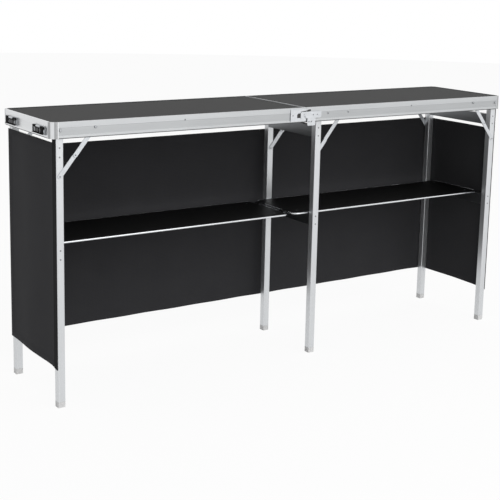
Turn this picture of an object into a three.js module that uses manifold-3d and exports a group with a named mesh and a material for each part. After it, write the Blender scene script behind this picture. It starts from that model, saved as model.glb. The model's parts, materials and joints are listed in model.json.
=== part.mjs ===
// Folding portable bar: a two-part top on three folding leg frames, with two shelves and a cloth skirt.
// Millimetres, +Z up. X runs along the bar, -Y is the side the barkeeper stands on, and the floor is Z = 0.

import * as THREE from 'three';
import { mergeVertices } from 'three/addons/utils/BufferGeometryUtils.js';
import Module from 'manifold-3d';

const wasm = await Module();
wasm.setup();

// Overall sizes
const TOP_LENGTH = 1850;
const TOP_DEPTH = 380;
const TOP_HEIGHT = 890;

// Gaps
const CLEAR = 0.3;
const SEAM_GAP = 0.6;
const PIN_CLEAR = 0.4;
const OVERCUT = 1;

// Rails round the top
const RAIL_HEIGHT = 50;
const RAIL_WALL = 2.5;
const LIP_WIDTH = 6;
const LIP_THICK = 1.5;
const LEDGE_WIDTH = 13.5;
const LEDGE_THICK = 2;
const BAND_RECESS = 0.8;
const UPPER_BAND = 17;
const LOWER_BAND = 9;
const CORNER_RADIUS = 24;
const CORNER_PROUD = 0.8;
const BOARD_THICK = 8;

// Seam rails and their hinge
const SEAM_WALL = 2;
const SEAM_LEDGE = 14;
const KNUCKLE_RADIUS = 4.5;
const KNUCKLE_COUNT = 7;
const HINGE_PIN_RADIUS = 2;
const HINGE_LIFT = 5;

// Leg frames
const TUBE = 24;
const TUBE_WALL = 1.5;
const TUBE_EDGE = 2;
const END_INSET = 18;
const MIDDLE_X = 81;
const PIVOT_DROP = 25;
const NEST_DROP = 26;
const NEST_GAP = 2;
const PIVOT_RADIUS = 2.5;
const SLEEVE_RADIUS = 7;
const PIN_HEAD_RADIUS = 4;
const PIN_HEAD_THICK = 1.8;
const FOOT_HEIGHT = 18;
const PLUG_HEIGHT = 20;

// Cross bars between the two legs of a frame
const BAR_THICK = 20;
const BAR_HEIGHT = 40;
const BAR_WALL = 1.5;
const UPPER_BAR_DROP = 72;
const SHELF_BAR_TOP = 505;

// Folding stays
const STAY_DROP = 139;
const STAY_REACH = 114;
const STAY_RISE = 5;
const LINK_WIDTH = 14;
const LINK_THICK = 2;
const LINK_GAP = 0.4;
const LINK_RAIL_GAP = 0.7;
const STAY_PIN_RADIUS = 2.2;
const STAY_HEAD_RADIUS = 3.8;

// Brackets of the middle frame
const BRACKET_WALL = 2.5;
const BRACKET_FLANGE = 26;
const EAR_RADIUS = 13;

// Shelves
const SHELF_DEPTH = 256;
const SHELF_END_GAP = 8;
const SHELF_OVERHANG = 8;
const SHELF_CORNER = 28;
const WIRE = 6;
const SHELF_BOARD = 4.6;
const TAB_WIDTH = 24;
const TAB_THICK = 2;
const TAB_SPACING = 150;

// Latch at the seam
const LATCH_PLATE = 2;
const KEEPER_LENGTH = 64;
const KEEPER_HEIGHT = 41;
const KEEPER_PIN_X = -9.5;
const LATCH_PIVOT_X = 45;
const LATCH_BODY = 22;
const LATCH_TAIL = 17;
const LATCH_HOOK = 15;
const LATCH_PIN_RADIUS = 3;
const LATCH_LIFT = 35;
const THUMB_WIDTH = 34;
const THUMB_DROP = 26;

// Case clasps on the left end
const CLASP_WIDTH = 84;
const CLASP_HEIGHT = 26;
const CLASP_PLATE = 2;
const CLASP_INSET = 82;
const CLASP_DROP = 30;
const CLASP_BARREL = 2.8;
const CLASP_PIN = 1.2;
const CLASP_CENTRE = 30;
const CLASP_HANG = 21;
const CLASP_LEAF = 1.5;
const CLASP_MARGIN = 2;
const HOOK_DEPTH = 5;

// Skirt
const SKIRT_THICK = 2;
const SKIRT_BOTTOM = 129;
const SKIRT_REAR_DROP = 127;
const SKIRT_LEFT_DROP = 65;
const SKIRT_RIGHT_DROP = 127;
const FOLD_COUNT = 9;
const FOLD_DEPTH = 1.2;
const SIDE_BULGE = 3;
const PAD_WIDTH = 18;
const PAD_HEIGHT = 60;
const PAD_LEVELS = [200, 560];

// Facets
const ARC_STEPS = 4;
const ROUND_SIDES = 12;
const FOLD_STEPS = 6;
const SIDE_STEPS = 16;

// Places worked out from the sizes above
const halfLength = TOP_LENGTH / 2;
const halfDepth = TOP_DEPTH / 2;
const railBottom = TOP_HEIGHT - RAIL_HEIGHT;
const boardTop = TOP_HEIGHT - LIP_THICK - CLEAR;
const boardBottom = boardTop - BOARD_THICK;
const ledgeTop = boardBottom - CLEAR;
const pivotZ = TOP_HEIGHT - PIVOT_DROP;
const stack = CLEAR + LINK_THICK + LINK_GAP + LINK_THICK + LINK_RAIL_GAP;
const endLegFace = halfDepth - RAIL_WALL - stack;
const middleLegFace = endLegFace - TUBE - NEST_GAP;
const endLegX = halfLength - END_INSET - TUBE / 2;
const shelfBottom = SHELF_BAR_TOP + CLEAR;
const railMiddle = TOP_HEIGHT - RAIL_HEIGHT / 2;
const claspZ = TOP_HEIGHT - CLASP_DROP;
const claspY = halfDepth - CLASP_INSET;

// Finishes
const metal = (color, roughness) => new THREE.MeshStandardMaterial({ color, roughness, metalness: 1 });
const matt = (color, roughness) => new THREE.MeshStandardMaterial({ color, roughness, metalness: 0 });
const finish = {
  aluminium: metal(0xd4d6d8, 0.35),
  board: matt(0x565656, 0.6),
  steel: metal(0xb9bcc0, 0.3),
  foot: matt(0xc9c9c9, 0.5),
  shelf: matt(0x121212, 0.25),
  wire: metal(0xcfd2d6, 0.2),
  clasp: metal(0x2a2a2c, 0.45),
  cloth: matt(0x2c2c2e, 0.9),
};

// Solids: a closed geometry becomes a solid that can be joined and cut, and a solid becomes a geometry again.
function solidOf(geometry) {
  geometry.deleteAttribute('normal');
  geometry.deleteAttribute('uv');
  const merged = mergeVertices(geometry, 1e-4);
  const vertProperties = new Float32Array(merged.attributes.position.array);
  const triVerts = new Uint32Array(merged.index.array);
  return new wasm.Manifold(new wasm.Mesh({ numProp: 3, vertProperties, triVerts }));
}

function geometryOf(solid) {
  const mesh = solid.getMesh();
  const geometry = new THREE.BufferGeometry();
  geometry.setAttribute('position', new THREE.BufferAttribute(new Float32Array(mesh.vertProperties), 3));
  geometry.setIndex(new THREE.BufferAttribute(new Uint32Array(mesh.triVerts), 1));
  const flat = geometry.toNonIndexed();
  flat.computeVertexNormals();
  return flat;
}

const join = (first, ...rest) => rest.reduce((sum, solid) => sum.add(solid), first);
const cut = (first, ...rest) => rest.reduce((left, solid) => left.subtract(solid), first);

function addPiece(group, name, solid, material) {
  const mesh = new THREE.Mesh(geometryOf(solid), material);
  mesh.name = name;
  group.add(mesh);
}

// A flat shape pushed along one axis. The shape's own axes are X and Z, Y and Z, or X and Y.
const alongAxis = {
  X: new THREE.Matrix4().makeBasis(
    new THREE.Vector3(0, 1, 0), new THREE.Vector3(0, 0, 1), new THREE.Vector3(1, 0, 0)),
  Y: new THREE.Matrix4().makeBasis(
    new THREE.Vector3(1, 0, 0), new THREE.Vector3(0, 0, 1), new THREE.Vector3(0, -1, 0)),
  Z: new THREE.Matrix4(),
};

function prism(axis, shape, start, end) {
  const [low, high] = [Math.min(start, end), Math.max(start, end)];
  const options = { depth: high - low, bevelEnabled: false, curveSegments: ARC_STEPS };
  const geometry = new THREE.ExtrudeGeometry(shape, options);
  geometry.translate(0, 0, axis === 'Y' ? -high : low);
  geometry.applyMatrix4(alongAxis[axis]);
  return solidOf(geometry);
}

function box(x0, x1, y0, y1, z0, z1) {
  const geometry = new THREE.BoxGeometry(Math.abs(x1 - x0), Math.abs(y1 - y0), Math.abs(z1 - z0));
  geometry.translate((x0 + x1) / 2, (y0 + y1) / 2, (z0 + z1) / 2);
  return solidOf(geometry);
}

// A round pin along Y.
function pin(radius, x, z, y0, y1) {
  const geometry = new THREE.CylinderGeometry(radius, radius, Math.abs(y1 - y0), ROUND_SIDES);
  geometry.translate(x, (y0 + y1) / 2, z);
  return solidOf(geometry);
}

const polygon = (points) => new THREE.Shape(points.map(([a, b]) => new THREE.Vector2(a, b)));

// A rectangle between two corners, with a radius for each of its corners in turn from the low one.
function roundedRectangle(a0, a1, b0, b1, radii) {
  const shape = new THREE.Shape();
  const corners = [[a0, b0, 1, 1], [a1, b0, -1, 1], [a1, b1, -1, -1], [a0, b1, 1, -1]];
  corners.forEach(([a, b, toA, toB], index) => {
    const radius = radii[index];
    if (radius === 0) {
      if (index === 0) shape.moveTo(a, b);
      else shape.lineTo(a, b);
      return;
    }
    const start = Math.PI + (index * Math.PI) / 2;
    const centreA = a + toA * radius;
    const centreB = b + toB * radius;
    if (index > 0) shape.lineTo(centreA + radius * Math.cos(start), centreB + radius * Math.sin(start));
    shape.absarc(centreA, centreB, radius, start, start + Math.PI / 2, false);
  });
  shape.closePath();
  return shape;
}

// A strip with round ends about two points.
function capsule([pa, pb], [qa, qb], radius) {
  const angle = Math.atan2(qb - pb, qa - pa);
  const quarter = Math.PI / 2;
  const shape = new THREE.Shape();
  shape.absarc(qa, qb, radius, angle - quarter, angle, false);
  shape.absarc(qa, qb, radius, angle, angle + quarter, false);
  shape.absarc(pa, pb, radius, angle + quarter, angle + 2 * quarter, false);
  shape.absarc(pa, pb, radius, angle + 2 * quarter, angle + 3 * quarter, false);
  shape.closePath();
  return shape;
}

// Rail section: u is the distance in from the outer face, v the height above the rail's lower edge.
function railSection(place) {
  const ledge = ledgeTop - railBottom;
  const lip = RAIL_HEIGHT - LIP_THICK;
  const bandTop = RAIL_HEIGHT - UPPER_BAND;
  const outline = [
    [0, 0], [RAIL_WALL, 0], [RAIL_WALL, ledge - LEDGE_THICK], [LEDGE_WIDTH, ledge - LEDGE_THICK],
    [LEDGE_WIDTH, ledge], [RAIL_WALL, ledge], [RAIL_WALL, lip], [LIP_WIDTH, lip],
    [LIP_WIDTH, RAIL_HEIGHT], [0, RAIL_HEIGHT], [0, bandTop], [BAND_RECESS, bandTop - BAND_RECESS],
    [BAND_RECESS, LOWER_BAND + BAND_RECESS], [0, LOWER_BAND],
  ];
  return polygon(outline.map(([u, v]) => place(u, railBottom + v)));
}

// The three frames: where each pivots, which way it folds, and on which face of its legs the stays lie.
const frames = [
  { name: 'left', x: -endLegX, z: pivotZ, fold: 1, face: endLegFace, stayOutside: true },
  { name: 'middle', x: MIDDLE_X, z: pivotZ - NEST_DROP, fold: 1, face: middleLegFace, stayOutside: false },
  { name: 'right', x: endLegX, z: pivotZ, fold: -1, face: endLegFace, stayOutside: true },
];
const sides = [
  { name: 'front', y: -1 },
  { name: 'rear', y: 1 },
];

const stayFoot = () => [0, -STAY_DROP];
const stayHead = (frame) => [frame.fold * STAY_REACH, STAY_RISE];

// The top: boards, rails, corners and the seam
const bar = new THREE.Group();

// The boards drop in between the lips and rest on the ledges.
function makeBoards() {
  const edge = LIP_WIDTH + CLEAR;
  const radius = CORNER_RADIUS - edge;
  const outer = halfLength - edge;
  const inner = SEAM_GAP / 2 + SEAM_WALL + CLEAR;
  const side = halfDepth - edge;
  const left = roundedRectangle(-outer, -inner, -side, side, [radius, 0, 0, radius]);
  const right = roundedRectangle(inner, outer, -side, side, [0, radius, radius, 0]);
  addPiece(bar, 'top_board_left', prism('Z', left, boardBottom, boardTop), finish.board);
  addPiece(bar, 'top_board_right', prism('Z', right, boardBottom, boardTop), finish.board);
}

// Holes in a long rail for the pins of the end frames, and in the front right rail for the latch.
function railHoles(half, side) {
  const holes = [];
  const reach = [side.y * (halfDepth + RAIL_WALL), side.y * (halfDepth - 2 * RAIL_WALL)];
  for (const frame of frames.filter((each) => each.stayOutside && Math.sign(each.x) === half)) {
    const [headX, headZ] = stayHead(frame);
    holes.push(pin(PIVOT_RADIUS + PIN_CLEAR, frame.x, frame.z, ...reach));
    holes.push(pin(STAY_PIN_RADIUS + PIN_CLEAR, frame.x + headX, frame.z + headZ, ...reach));
  }
  if (half > 0 && side.y < 0) {
    holes.push(pin(LATCH_PIN_RADIUS + PIN_CLEAR, LATCH_PIVOT_X, railMiddle, ...reach));
  }
  return holes;
}

function makeLongRails() {
  for (const side of sides) {
    const section = railSection((u, z) => [side.y * (halfDepth - u), z]);
    for (const [half, name] of [[-1, 'left'], [1, 'right']]) {
      const outer = half * (halfLength - CORNER_RADIUS - CLEAR);
      const rail = prism('X', section, half * (SEAM_GAP / 2), outer);
      addPiece(bar, `${side.name}_rail_${name}`, cut(rail, ...railHoles(half, side)), finish.aluminium);
    }
  }
}

// The right end rail has two hooked keepers that the clasps catch when the halves are folded together.
function makeEndRails() {
  const span = halfDepth - CORNER_RADIUS - CLEAR;
  for (const [half, name] of [[-1, 'left'], [1, 'right']]) {
    const section = railSection((u, z) => [half * (halfLength - u), z]);
    let rail = prism('Y', section, -span, span);
    if (half > 0) {
      const root = halfLength - RAIL_WALL / 2;
      const tip = halfLength + HOOK_DEPTH;
      const low = claspZ - HOOK_DEPTH;
      const high = claspZ + HOOK_DEPTH;
      const hook = polygon([
        [root, low], [tip, low], [tip, high], [tip - CLASP_PLATE, high],
        [tip - CLASP_PLATE, low + CLASP_PLATE], [root, low + CLASP_PLATE],
      ]);
      for (const side of sides) {
        const middle = side.y * claspY;
        rail = join(rail, prism('Y', hook, middle - CLASP_CENTRE / 2, middle + CLASP_CENTRE / 2));
      }
    }
    addPiece(bar, `end_rail_${name}`, rail, finish.aluminium);
  }
}

// A corner is a quarter of a ring, slightly proud of the rails, with a lip over the board.
function quarterRing(inner, outer, centreX, centreY, start) {
  const shape = new THREE.Shape();
  shape.absarc(centreX, centreY, outer, start, start + Math.PI / 2, false);
  shape.absarc(centreX, centreY, inner, start + Math.PI / 2, start, true);
  shape.closePath();
  return shape;
}

function makeCorners() {
  const outer = CORNER_RADIUS + CORNER_PROUD;
  for (const side of sides) {
    for (const [half, name] of [[-1, 'left'], [1, 'right']]) {
      const x = half * (halfLength - CORNER_RADIUS);
      const y = side.y * (halfDepth - CORNER_RADIUS);
      const start = Math.atan2(side.y, half) - Math.PI / 4;
      const wall = quarterRing(CORNER_RADIUS - RAIL_WALL, outer, x, y, start);
      const lip = quarterRing(CORNER_RADIUS - LIP_WIDTH, outer, x, y, start);
      const solid = join(
        prism('Z', wall, railBottom, TOP_HEIGHT),
        prism('Z', lip, TOP_HEIGHT - LIP_THICK, TOP_HEIGHT),
      );
      addPiece(bar, `corner_${side.name}_${name}`, solid, finish.aluminium);
    }
  }
}

// Each seam rail stands against the board's inner edge. Its knuckles alternate with the other one's.
function makeSeam() {
  const hingeZ = railBottom + HINGE_LIFT;
  const wallBottom = hingeZ + KNUCKLE_RADIUS + CLEAR;
  const span = halfDepth - RAIL_WALL - CLEAR;
  const ledgeSpan = halfDepth - LEDGE_WIDTH - CLEAR;
  const lipSpan = halfDepth - LIP_WIDTH - CLEAR;
  const step = (2 * ledgeSpan) / KNUCKLE_COUNT;
  const near = SEAM_GAP / 2;
  for (const [half, name] of [[-1, 'left'], [1, 'right']]) {
    const far = near + SEAM_WALL;
    let rail = join(
      box(half * near, half * far, -span, span, wallBottom, TOP_HEIGHT),
      box(half * near, half * SEAM_LEDGE, -ledgeSpan, ledgeSpan, ledgeTop - LEDGE_THICK, ledgeTop),
    );
    for (const side of sides) {
      const ledgeZ = [ledgeTop - LEDGE_THICK - CLEAR, ledgeTop + CLEAR];
      const lipZ = [TOP_HEIGHT - LIP_THICK - CLEAR, TOP_HEIGHT + OVERCUT];
      rail = cut(
        rail,
        box(-SEAM_LEDGE, SEAM_LEDGE, side.y * ledgeSpan, side.y * halfDepth, ...ledgeZ),
        box(-SEAM_LEDGE, SEAM_LEDGE, side.y * lipSpan, side.y * halfDepth, ...lipZ),
      );
    }
    for (let index = half > 0 ? 1 : 0; index < KNUCKLE_COUNT; index += 2) {
      const y0 = -ledgeSpan + index * step + CLEAR;
      const y1 = y0 + step - 2 * CLEAR;
      const web = box(half * near, half * far, y0, y1, hingeZ, wallBottom + CLEAR);
      const barrel = pin(KNUCKLE_RADIUS, 0, hingeZ, y0, y1);
      const bore = pin(HINGE_PIN_RADIUS + PIN_CLEAR, 0, hingeZ, y0 - CLEAR, y1 + CLEAR);
      rail = join(rail, cut(join(web, barrel), bore));
    }
    addPiece(bar, `seam_rail_${name}`, rail, finish.aluminium);
  }
  addPiece(bar, 'hinge_pin', pin(HINGE_PIN_RADIUS, 0, hingeZ, -ledgeSpan, ledgeSpan), finish.steel);
}

// Legs: square tube with a round upper end, a sleeve against the links, and the pivot pin with its head.
function makeLeg(frame, side) {
  const out = frame.stayOutside ? side.y : -side.y;
  const centre = side.y * (frame.face - TUBE / 2);
  const face = centre + (out * TUBE) / 2;
  const half = TUBE / 2;
  const bottom = FOOT_HEIGHT + CLEAR - frame.z;
  const tube = roundedRectangle(-half, half, centre - half, centre + half, Array(4).fill(TUBE_EDGE));
  const endOutline = capsule([0, bottom - TUBE], [0, 0], half);
  const hollow = half - TUBE_WALL;
  const carrier = frame.stayOutside ? RAIL_WALL : BRACKET_WALL;
  const sleeveEnd = face + out * (stack - CLEAR);
  const pinEnd = face + out * (stack + carrier + CLEAR);
  const [footX, footZ] = stayFoot();
  const shell = cut(
    prism('Z', tube, bottom, half).intersect(prism('Y', endOutline, centre - half, centre + half)),
    box(-hollow, hollow, centre - hollow, centre + hollow, bottom - OVERCUT, -half),
    pin(STAY_PIN_RADIUS + PIN_CLEAR, footX, footZ, face + out * OVERCUT, centre),
  );
  return join(
    shell,
    pin(SLEEVE_RADIUS, 0, 0, face - out * TUBE_WALL, sleeveEnd),
    pin(PIVOT_RADIUS, 0, 0, face, pinEnd + out * PIN_HEAD_THICK),
    pin(PIN_HEAD_RADIUS, 0, 0, pinEnd, pinEnd + out * PIN_HEAD_THICK),
  );
}

// Feet: a cap the size of the tube with a plug inside it.
function makeFoot(frame, side) {
  const centre = side.y * (frame.face - TUBE / 2);
  const half = TUBE / 2;
  const plug = half - TUBE_WALL - CLEAR;
  const cap = roundedRectangle(-half, half, centre - half, centre + half, Array(4).fill(TUBE_EDGE));
  const capTop = FOOT_HEIGHT - frame.z;
  return join(
    prism('Z', cap, -frame.z, capTop),
    box(-plug, plug, centre - plug, centre + plug, capTop - OVERCUT, capTop + PLUG_HEIGHT),
  );
}

// Cross bars: rectangular tube between the inner faces of the two legs.
function makeBar(frame, top) {
  const span = frame.face - TUBE - CLEAR;
  const half = BAR_THICK / 2;
  const high = top - frame.z;
  const section = roundedRectangle(-half, half, high - BAR_HEIGHT, high, [0, 0, 0, 0]);
  const hollow = roundedRectangle(
    BAR_WALL - half, half - BAR_WALL, high - BAR_HEIGHT + BAR_WALL, high - BAR_WALL, [0, 0, 0, 0]);
  return cut(prism('Y', section, -span, span), prism('Y', hollow, -span - OVERCUT, span + OVERCUT));
}

// Stays: the lower link turns on the leg and the upper one on the rail or bracket. Straight at rest, they lie
// flat along the rail when the leg is folded, which sets their two lengths.
function makeLinks(frame, side) {
  const out = frame.stayOutside ? side.y : -side.y;
  const face = side.y * (frame.face - TUBE / 2) + (out * TUBE) / 2;
  const carrier = frame.stayOutside ? RAIL_WALL : BRACKET_WALL;
  const foot = stayFoot();
  const head = stayHead(frame);
  const span = Math.hypot(head[0] - foot[0], head[1] - foot[1]);
  const foldedGap = Math.hypot(STAY_DROP - STAY_REACH, STAY_RISE);
  const lowerShare = (span - foldedGap) / 2 / span;
  const knee = [foot[0] + (head[0] - foot[0]) * lowerShare, foot[1] + (head[1] - foot[1]) * lowerShare];
  const radius = LINK_WIDTH / 2;
  const lowerBack = face + out * CLEAR;
  const lowerFront = lowerBack + out * LINK_THICK;
  const upperBack = lowerFront + out * LINK_GAP;
  const upperFront = upperBack + out * LINK_THICK;
  const pinEnd = face + out * (stack + carrier + CLEAR);
  const lower = join(
    prism('Y', capsule(foot, knee, radius), lowerBack, lowerFront),
    pin(STAY_PIN_RADIUS, ...foot, lowerFront, face - out * (TUBE_WALL + CLEAR)),
  );
  const upper = join(
    prism('Y', capsule(knee, head, radius), upperBack, upperFront),
    pin(STAY_PIN_RADIUS, ...head, upperBack, pinEnd + out * PIN_HEAD_THICK),
    pin(STAY_HEAD_RADIUS, ...head, pinEnd, pinEnd + out * PIN_HEAD_THICK),
  );
  return { lower, upper };
}

function makeFrame(frame) {
  const group = new THREE.Group();
  group.position.set(frame.x, 0, frame.z);
  for (const side of sides) {
    const { lower, upper } = makeLinks(frame, side);
    addPiece(group, `${frame.name}_leg_${side.name}`, makeLeg(frame, side), finish.aluminium);
    addPiece(group, `${frame.name}_foot_${side.name}`, makeFoot(frame, side), finish.foot);
    addPiece(group, `${frame.name}_lower_link_${side.name}`, lower, finish.steel);
    addPiece(group, `${frame.name}_upper_link_${side.name}`, upper, finish.steel);
  }
  addPiece(group, `${frame.name}_upper_bar`, makeBar(frame, TOP_HEIGHT - UPPER_BAR_DROP), finish.aluminium);
  addPiece(group, `${frame.name}_shelf_bar`, makeBar(frame, SHELF_BAR_TOP), finish.aluminium);
  bar.add(group);
}

// Brackets under the right board: one ear for the leg's pivot and one for the stay, on a common flange.
function makeBrackets() {
  const frame = frames[1];
  const earBack = frame.face - TUBE - stack;
  const earFront = earBack - BRACKET_WALL;
  const [headX, headZ] = stayHead(frame);
  const flangeTop = boardBottom - CLEAR;
  for (const side of sides) {
    const wall = [side.y * earBack, side.y * earFront];
    const through = [side.y * (earBack + OVERCUT), side.y * (earFront - OVERCUT)];
    const ear = (x, z, holeRadius) => cut(
      join(
        prism('Y', capsule([x, z], [x, flangeTop - EAR_RADIUS], EAR_RADIUS), ...wall),
        box(x - EAR_RADIUS, x + EAR_RADIUS, ...wall, z, flangeTop),
      ),
      pin(holeRadius, x, z, ...through),
    );
    const flange = box(
      frame.x - EAR_RADIUS, frame.x + headX + EAR_RADIUS,
      side.y * earBack, side.y * (earBack - BRACKET_FLANGE), flangeTop - BRACKET_WALL, flangeTop);
    const solid = join(
      flange,
      ear(frame.x, frame.z, PIVOT_RADIUS + PIN_CLEAR),
      ear(frame.x + headX, frame.z + headZ, STAY_PIN_RADIUS + PIN_CLEAR),
    );
    addPiece(bar, `middle_bracket_${side.name}`, solid, finish.steel);
  }
}

// Shelves: a wire rim with an eight-sided section, and a thin board inside it.
function makeShelf(name, x0, x1, withTabs) {
  const half = SHELF_DEPTH / 2;
  const bevel = WIRE * (1 - Math.SQRT1_2);
  const grow = (inset, radius) => roundedRectangle(
    x0 + inset, x1 - inset, -half + inset, half - inset, Array(4).fill(radius));
  const ring = grow(bevel, SHELF_CORNER - bevel);
  ring.holes.push(grow(WIRE - bevel, SHELF_CORNER - WIRE + bevel));
  const geometry = new THREE.ExtrudeGeometry(ring, {
    depth: WIRE - 2 * bevel,
    bevelThickness: bevel,
    bevelSize: bevel,
    bevelSegments: 1,
    curveSegments: ARC_STEPS,
  });
  geometry.translate(0, 0, shelfBottom + bevel);
  let rim = solidOf(geometry);
  if (withTabs) {
    const top = shelfBottom + WIRE + CLEAR;
    const root = x1 - WIRE / 2;
    const reach = x1 + SHELF_END_GAP * 2 + WIRE;
    const tab = polygon([
      [root, top - WIRE / 2], [x1 - CLEAR, top - WIRE / 2], [x1 - CLEAR, top],
      [reach, top], [reach, top + TAB_THICK], [root, top + TAB_THICK],
    ]);
    for (const side of sides) {
      const middle = (side.y * TAB_SPACING) / 2;
      rim = join(rim, prism('Y', tab, middle - TAB_WIDTH / 2, middle + TAB_WIDTH / 2));
    }
  }
  const board = grow(WIRE + CLEAR, SHELF_CORNER - WIRE - CLEAR);
  const boardZ = shelfBottom + (WIRE - SHELF_BOARD) / 2;
  addPiece(bar, `${name}_shelf_rim`, rim, finish.wire);
  addPiece(bar, `${name}_shelf_board`, prism('Z', board, boardZ, boardZ + SHELF_BOARD), finish.shelf);
}

// Latch: a keeper plate with a pin on the left half, and a hooked lever with a thumb tab on the right half.
// The mouth of the hook widens and the tab stands back along the path that the pin takes as the lever lifts.
function makeLatch() {
  const railFace = -halfDepth - CLEAR;
  const plateFace = railFace - LATCH_PLATE;
  const leverBack = plateFace - CLEAR;
  const leverFace = leverBack - LATCH_PLATE;
  const through = [leverBack + OVERCUT, leverFace - OVERCUT];
  const plateEnd = -SEAM_GAP / 2;
  const plate = roundedRectangle(
    plateEnd - KEEPER_LENGTH, plateEnd, railMiddle - KEEPER_HEIGHT / 2, railMiddle + KEEPER_HEIGHT / 2,
    Array(4).fill(LATCH_PIN_RADIUS));
  const keeper = join(
    prism('Y', plate, railFace, plateFace),
    pin(LATCH_PIN_RADIUS, KEEPER_PIN_X, railMiddle, railFace, leverFace - CLEAR),
  );
  const half = LATCH_BODY / 2;
  const slot = LATCH_PIN_RADIUS + PIN_CLEAR;
  const swing = LATCH_PIVOT_X - KEEPER_PIN_X;
  const flare = swing - Math.sqrt(swing ** 2 - LATCH_BODY ** 2);
  const mouthLow = railMiddle - LATCH_BODY;
  const thumbLeft = LATCH_PIVOT_X - swing * Math.cos(THREE.MathUtils.degToRad(LATCH_LIFT)) + slot;
  const body = roundedRectangle(
    KEEPER_PIN_X - LATCH_HOOK, LATCH_PIVOT_X + LATCH_TAIL, railMiddle - half, railMiddle + half,
    Array(4).fill(half / 2));
  const thumb = roundedRectangle(
    thumbLeft, thumbLeft + THUMB_WIDTH, railMiddle - half - THUMB_DROP, railMiddle,
    [half / 2, half / 2, 0, 0]);
  const mouth = polygon([
    [KEEPER_PIN_X - slot, railMiddle], [KEEPER_PIN_X - slot, mouthLow],
    [KEEPER_PIN_X + slot + flare, mouthLow], [KEEPER_PIN_X + slot, railMiddle],
  ]);
  const lever = join(
    cut(
      join(prism('Y', body, leverBack, leverFace), prism('Y', thumb, leverBack, leverFace)),
      prism('Y', mouth, ...through),
      pin(slot, KEEPER_PIN_X, railMiddle, ...through),
    ),
    pin(half / 2, LATCH_PIVOT_X, railMiddle, railFace, leverFace),
    pin(LATCH_PIN_RADIUS, LATCH_PIVOT_X, railMiddle, leverBack, -halfDepth + RAIL_WALL + CLEAR),
  );
  addPiece(bar, 'latch_keeper', keeper, finish.steel);
  addPiece(bar, 'latch_lever', lever, finish.steel);
}

// Case clasps: a base plate with one knuckle, and a lever that hangs from it with a curled finger edge.
function makeClasps() {
  const plateBack = -halfLength - CLEAR;
  const plateFace = plateBack - CLASP_PLATE;
  const axisX = plateFace - CLASP_BARREL;
  const plateZ = [claspZ - CLASP_HEIGHT / 2, claspZ + CLASP_HEIGHT / 2];
  const axisZ = plateZ[1] - CLASP_BARREL;
  const half = CLASP_WIDTH / 2;
  const centre = CLASP_CENTRE / 2;
  for (const side of sides) {
    const y = side.y * claspY;
    const base = cut(
      join(
        box(plateBack, plateFace, y - half, y + half, ...plateZ),
        pin(CLASP_BARREL, axisX, axisZ, y - centre, y + centre),
        box(axisX, plateFace + CLASP_PLATE / 2, y - centre, y + centre, axisZ, axisZ + CLASP_BARREL),
      ),
      pin(CLASP_PIN + PIN_CLEAR, axisX, axisZ, y - half, y + half),
    );
    const leafBack = axisX - CLASP_LEAF / 2;
    const leafFace = leafBack - CLASP_LEAF;
    const leafLow = axisZ - CLASP_HANG;
    const leaf = polygon([
      [leafBack, axisZ], [leafBack, leafLow], [axisX - HOOK_DEPTH, leafLow],
      [axisX - HOOK_DEPTH, leafLow + CLASP_LEAF], [leafFace, leafLow + CLASP_LEAF], [leafFace, axisZ],
    ]);
    const low = y - half + CLASP_MARGIN;
    const high = y + half - CLASP_MARGIN;
    const gap = [y - centre - CLEAR, y + centre + CLEAR];
    const lever = join(
      cut(
        prism('Y', leaf, low, high),
        box(axisX - HOOK_DEPTH, axisX, ...gap, axisZ - CLASP_BARREL - OVERCUT, axisZ + OVERCUT),
      ),
      pin(CLASP_BARREL - CLEAR, axisX, axisZ, low, gap[0]),
      pin(CLASP_BARREL - CLEAR, axisX, axisZ, gap[1], high),
      pin(CLASP_PIN, axisX, axisZ, low, high),
    );
    addPiece(bar, `clasp_base_${side.name}`, base, finish.clasp);
    addPiece(bar, `clasp_lever_${side.name}`, lever, finish.clasp);
  }
}

// Skirt: the rear panel hangs behind the rear legs in shallow folds, held by pads on the end legs. The side
// panels lie on the outer faces of the end legs and bulge a little between them; the left one hangs higher.
function band(count, path, thickness) {
  const near = [];
  const far = [];
  for (let index = 0; index <= count; index += 1) {
    const [a, b, normalA, normalB] = path(index / count);
    near.push([a, b]);
    far.push([a + normalA * thickness, b + normalB * thickness]);
  }
  return polygon([...near, ...far.reverse()]);
}

function makeSkirt() {
  const legOuterX = endLegX + TUBE / 2;
  const sideX = legOuterX + CLEAR;
  const rearY = halfDepth - RAIL_WALL + CLEAR;
  const rear = band(FOLD_COUNT * FOLD_STEPS, (t) => {
    const wave = FOLD_DEPTH * (1 - Math.cos(2 * Math.PI * FOLD_COUNT * t));
    return [-legOuterX + 2 * legOuterX * t, rearY + wave, 0, 1];
  }, SKIRT_THICK);
  let panel = prism('Z', rear, SKIRT_BOTTOM, TOP_HEIGHT - SKIRT_REAR_DROP);
  for (const x of [-endLegX, endLegX]) {
    for (const level of PAD_LEVELS) {
      panel = join(panel, box(
        x - PAD_WIDTH / 2, x + PAD_WIDTH / 2, endLegFace + CLEAR, rearY + SKIRT_THICK,
        level - PAD_HEIGHT / 2, level + PAD_HEIGHT / 2));
    }
  }
  addPiece(bar, 'skirt_rear', panel, finish.cloth);
  const innerFace = endLegFace - TUBE;
  for (const [half, name, drop] of [[-1, 'left', SKIRT_LEFT_DROP], [1, 'right', SKIRT_RIGHT_DROP]]) {
    const side = band(SIDE_STEPS, (t) => {
      const y = -endLegFace + (endLegFace + rearY - CLEAR) * t;
      const between = Math.min(Math.max((y + innerFace) / (2 * innerFace), 0), 1);
      const bulge = SIDE_BULGE * Math.sin(Math.PI * between) ** 2;
      return [half * (sideX + bulge), y, half, 0];
    }, SKIRT_THICK);
    addPiece(bar, `skirt_${name}`, prism('Z', side, SKIRT_BOTTOM, TOP_HEIGHT - drop), finish.cloth);
  }
}

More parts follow.
